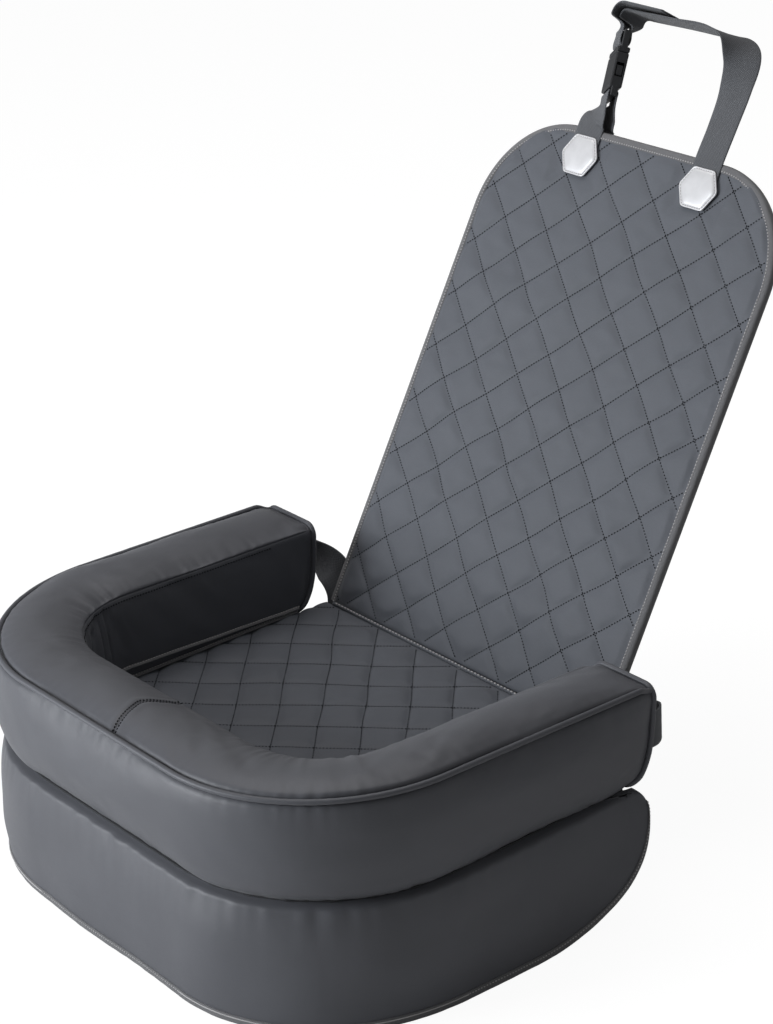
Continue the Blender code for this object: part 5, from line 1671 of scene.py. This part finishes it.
class DOGSEAT_OT_stage(bpy.types.Operator):
    """Set up the pale floor, the soft lights and the camera"""

    bl_idname = "dogseat.stage"
    bl_label = "Studio"

    def execute(self, context):
        self.floor()
        self.world()
        self.light(
            "side_softbox", place=(-1.35, -2.65, 0.95), aim=(0, -0.1, 0.20), size=1.5, power=104,
            rgb=(0.93, 0.96, 1.0),
        )
        self.light(
            "top_softbox", place=(-0.6, 0.2, 2.6), aim=(0, -0.05, 0.2), size=1.6, power=26,
            rgb=(1.0, 0.98, 0.98),
        )
        self.camera()
        return {"FINISHED"}

    def floor(self):
        """A pale plain floor, which the camera sees brighter than the lights leave it."""
        finish = Finish("studio_floor", Roughness=0.9, Specular_IOR_Level=0.1)
        rgb = tuple(bpy.context.scene.dog_seat_colours.floor)
        cloud = finish.noise(finish.place(), 1.5, 2.0)
        finish.tint(cloud, rgb, 0.985, 1.0)
        seen = finish.node("ShaderNodeLightPath", output="Is Camera Ray")
        glow = finish.node("ShaderNodeEmission", inputs={"Color": (1, 1, 1, 1), "Strength": 1.12})
        surface = finish.node("ShaderNodeMixShader", inputs={
            0: seen * 0.84, 1: Signal(finish.tree, finish.shader.outputs[0]), 2: glow,
        })
        output = finish.tree.nodes["Material Output"]
        finish.tree.links.new(surface.socket, output.inputs["Surface"])
        mesh = bpy.data.meshes.new("studio_floor")
        size = 14.0
        corners = [(-size, -size, 0), (size, -size, 0), (size, size, 0), (-size, size, 0)]
        mesh.from_pydata(corners, [], [(0, 1, 2, 3)])
        mesh.materials.append(finish.material)
        obj = linked("studio_floor", mesh)
        obj.location.z = -0.0005

    def world(self):
        """A white background that lights the seat only a little."""
        world = bpy.data.worlds.new("studio")
        world.use_nodes = True
        bpy.context.scene.world = world
        tree = world.node_tree
        background = tree.nodes["Background"]
        background.inputs["Color"].default_value = (1, 1, 1, 1)
        path = tree.nodes.new("ShaderNodeLightPath")
        seen = Signal(tree, path.outputs["Is Camera Ray"])
        strength = seen * 0.80 + 0.20
        tree.links.new(strength.socket, background.inputs["Strength"])

    def light(self, name, place, aim, size, power, rgb):
        """A square soft light, placed and aimed in the seat's own frame."""
        lamp = bpy.data.lights.new(name, "AREA")
        lamp.shape = "SQUARE"
        lamp.size = size
        lamp.energy = power
        lamp.color = rgb
        obj = linked(name, lamp)
        obj.location = SEAT @ Vector(place)
        way = Vector(aim) - Vector(place)
        obj.rotation_euler = way.to_track_quat("-Z", "Y").to_euler()

    def camera(self):
        """The photograph's camera."""
        turn, climb, roll = CAMERA_TURN, CAMERA_CLIMB, CAMERA_ROLL
        back = Vector((
            math.sin(turn) * math.cos(climb), -math.cos(turn) * math.cos(climb), math.sin(climb)
        ))
        right = Vector((math.cos(turn), math.sin(turn), 0))
        up = back.cross(right)
        level = math.cos(roll) * right + math.sin(roll) * up
        upright = math.cos(roll) * up - math.sin(roll) * right
        camera = bpy.data.cameras.new("photo_camera")
        camera.lens = CAMERA_FOCAL / PHOTO_HEIGHT * camera.sensor_width
        camera.clip_end = 60
        obj = linked("photo_camera", camera)
        pose = Matrix((level, upright, back)).transposed().to_4x4()
        pose.translation = SEAT @ Vector(CAMERA_PLACE)
        obj.matrix_world = pose
        bpy.context.scene.camera = obj
        bpy.context.scene.view_settings.view_transform = "Standard"


OPERATORS = (
    DOGSEAT_OT_bolster, DOGSEAT_OT_piping, DOGSEAT_OT_skirt, DOGSEAT_OT_seat_pad,
    DOGSEAT_OT_backrest, DOGSEAT_OT_fold, DOGSEAT_OT_patches, DOGSEAT_OT_headrest_straps,
    DOGSEAT_OT_belt, DOGSEAT_OT_solids, DOGSEAT_OT_stage,
)


class DOGSEAT_PT_panel(bpy.types.Panel):
    """Sizes, colours and pieces of the dog car seat"""

    bl_idname = "DOGSEAT_PT_panel"
    bl_label = "Dog car seat"
    bl_space_type = "VIEW_3D"
    bl_region_type = "UI"
    bl_category = "Dog seat"

    def draw(self, context):
        layout = self.layout
        for title, group in (
            ("Sizes", context.scene.dog_seat_sizes), ("Colours", context.scene.dog_seat_colours)
        ):
            box = layout.box()
            box.label(text=title)
            for name in group.__annotations__:
                box.prop(group, name)
        for operator in OPERATORS:
            layout.operator(operator.bl_idname)


CLASSES = (SeatSizes, SeatColours) + OPERATORS + (DOGSEAT_PT_panel,)


def register():
    for item in CLASSES:
        bpy.utils.register_class(item)
    bpy.types.Scene.dog_seat_sizes = PointerProperty(type=SeatSizes)
    bpy.types.Scene.dog_seat_colours = PointerProperty(type=SeatColours)


def unregister():
    del bpy.types.Scene.dog_seat_colours
    del bpy.types.Scene.dog_seat_sizes
    for item in reversed(CLASSES):
        bpy.utils.unregister_class(item)


def main():
    register()
    for operator in OPERATORS:
        group, name = operator.bl_idname.split(".")
        getattr(getattr(bpy.ops, group), name)()
    bpy.context.view_layer.update()


if __name__ == "__main__":
    main()
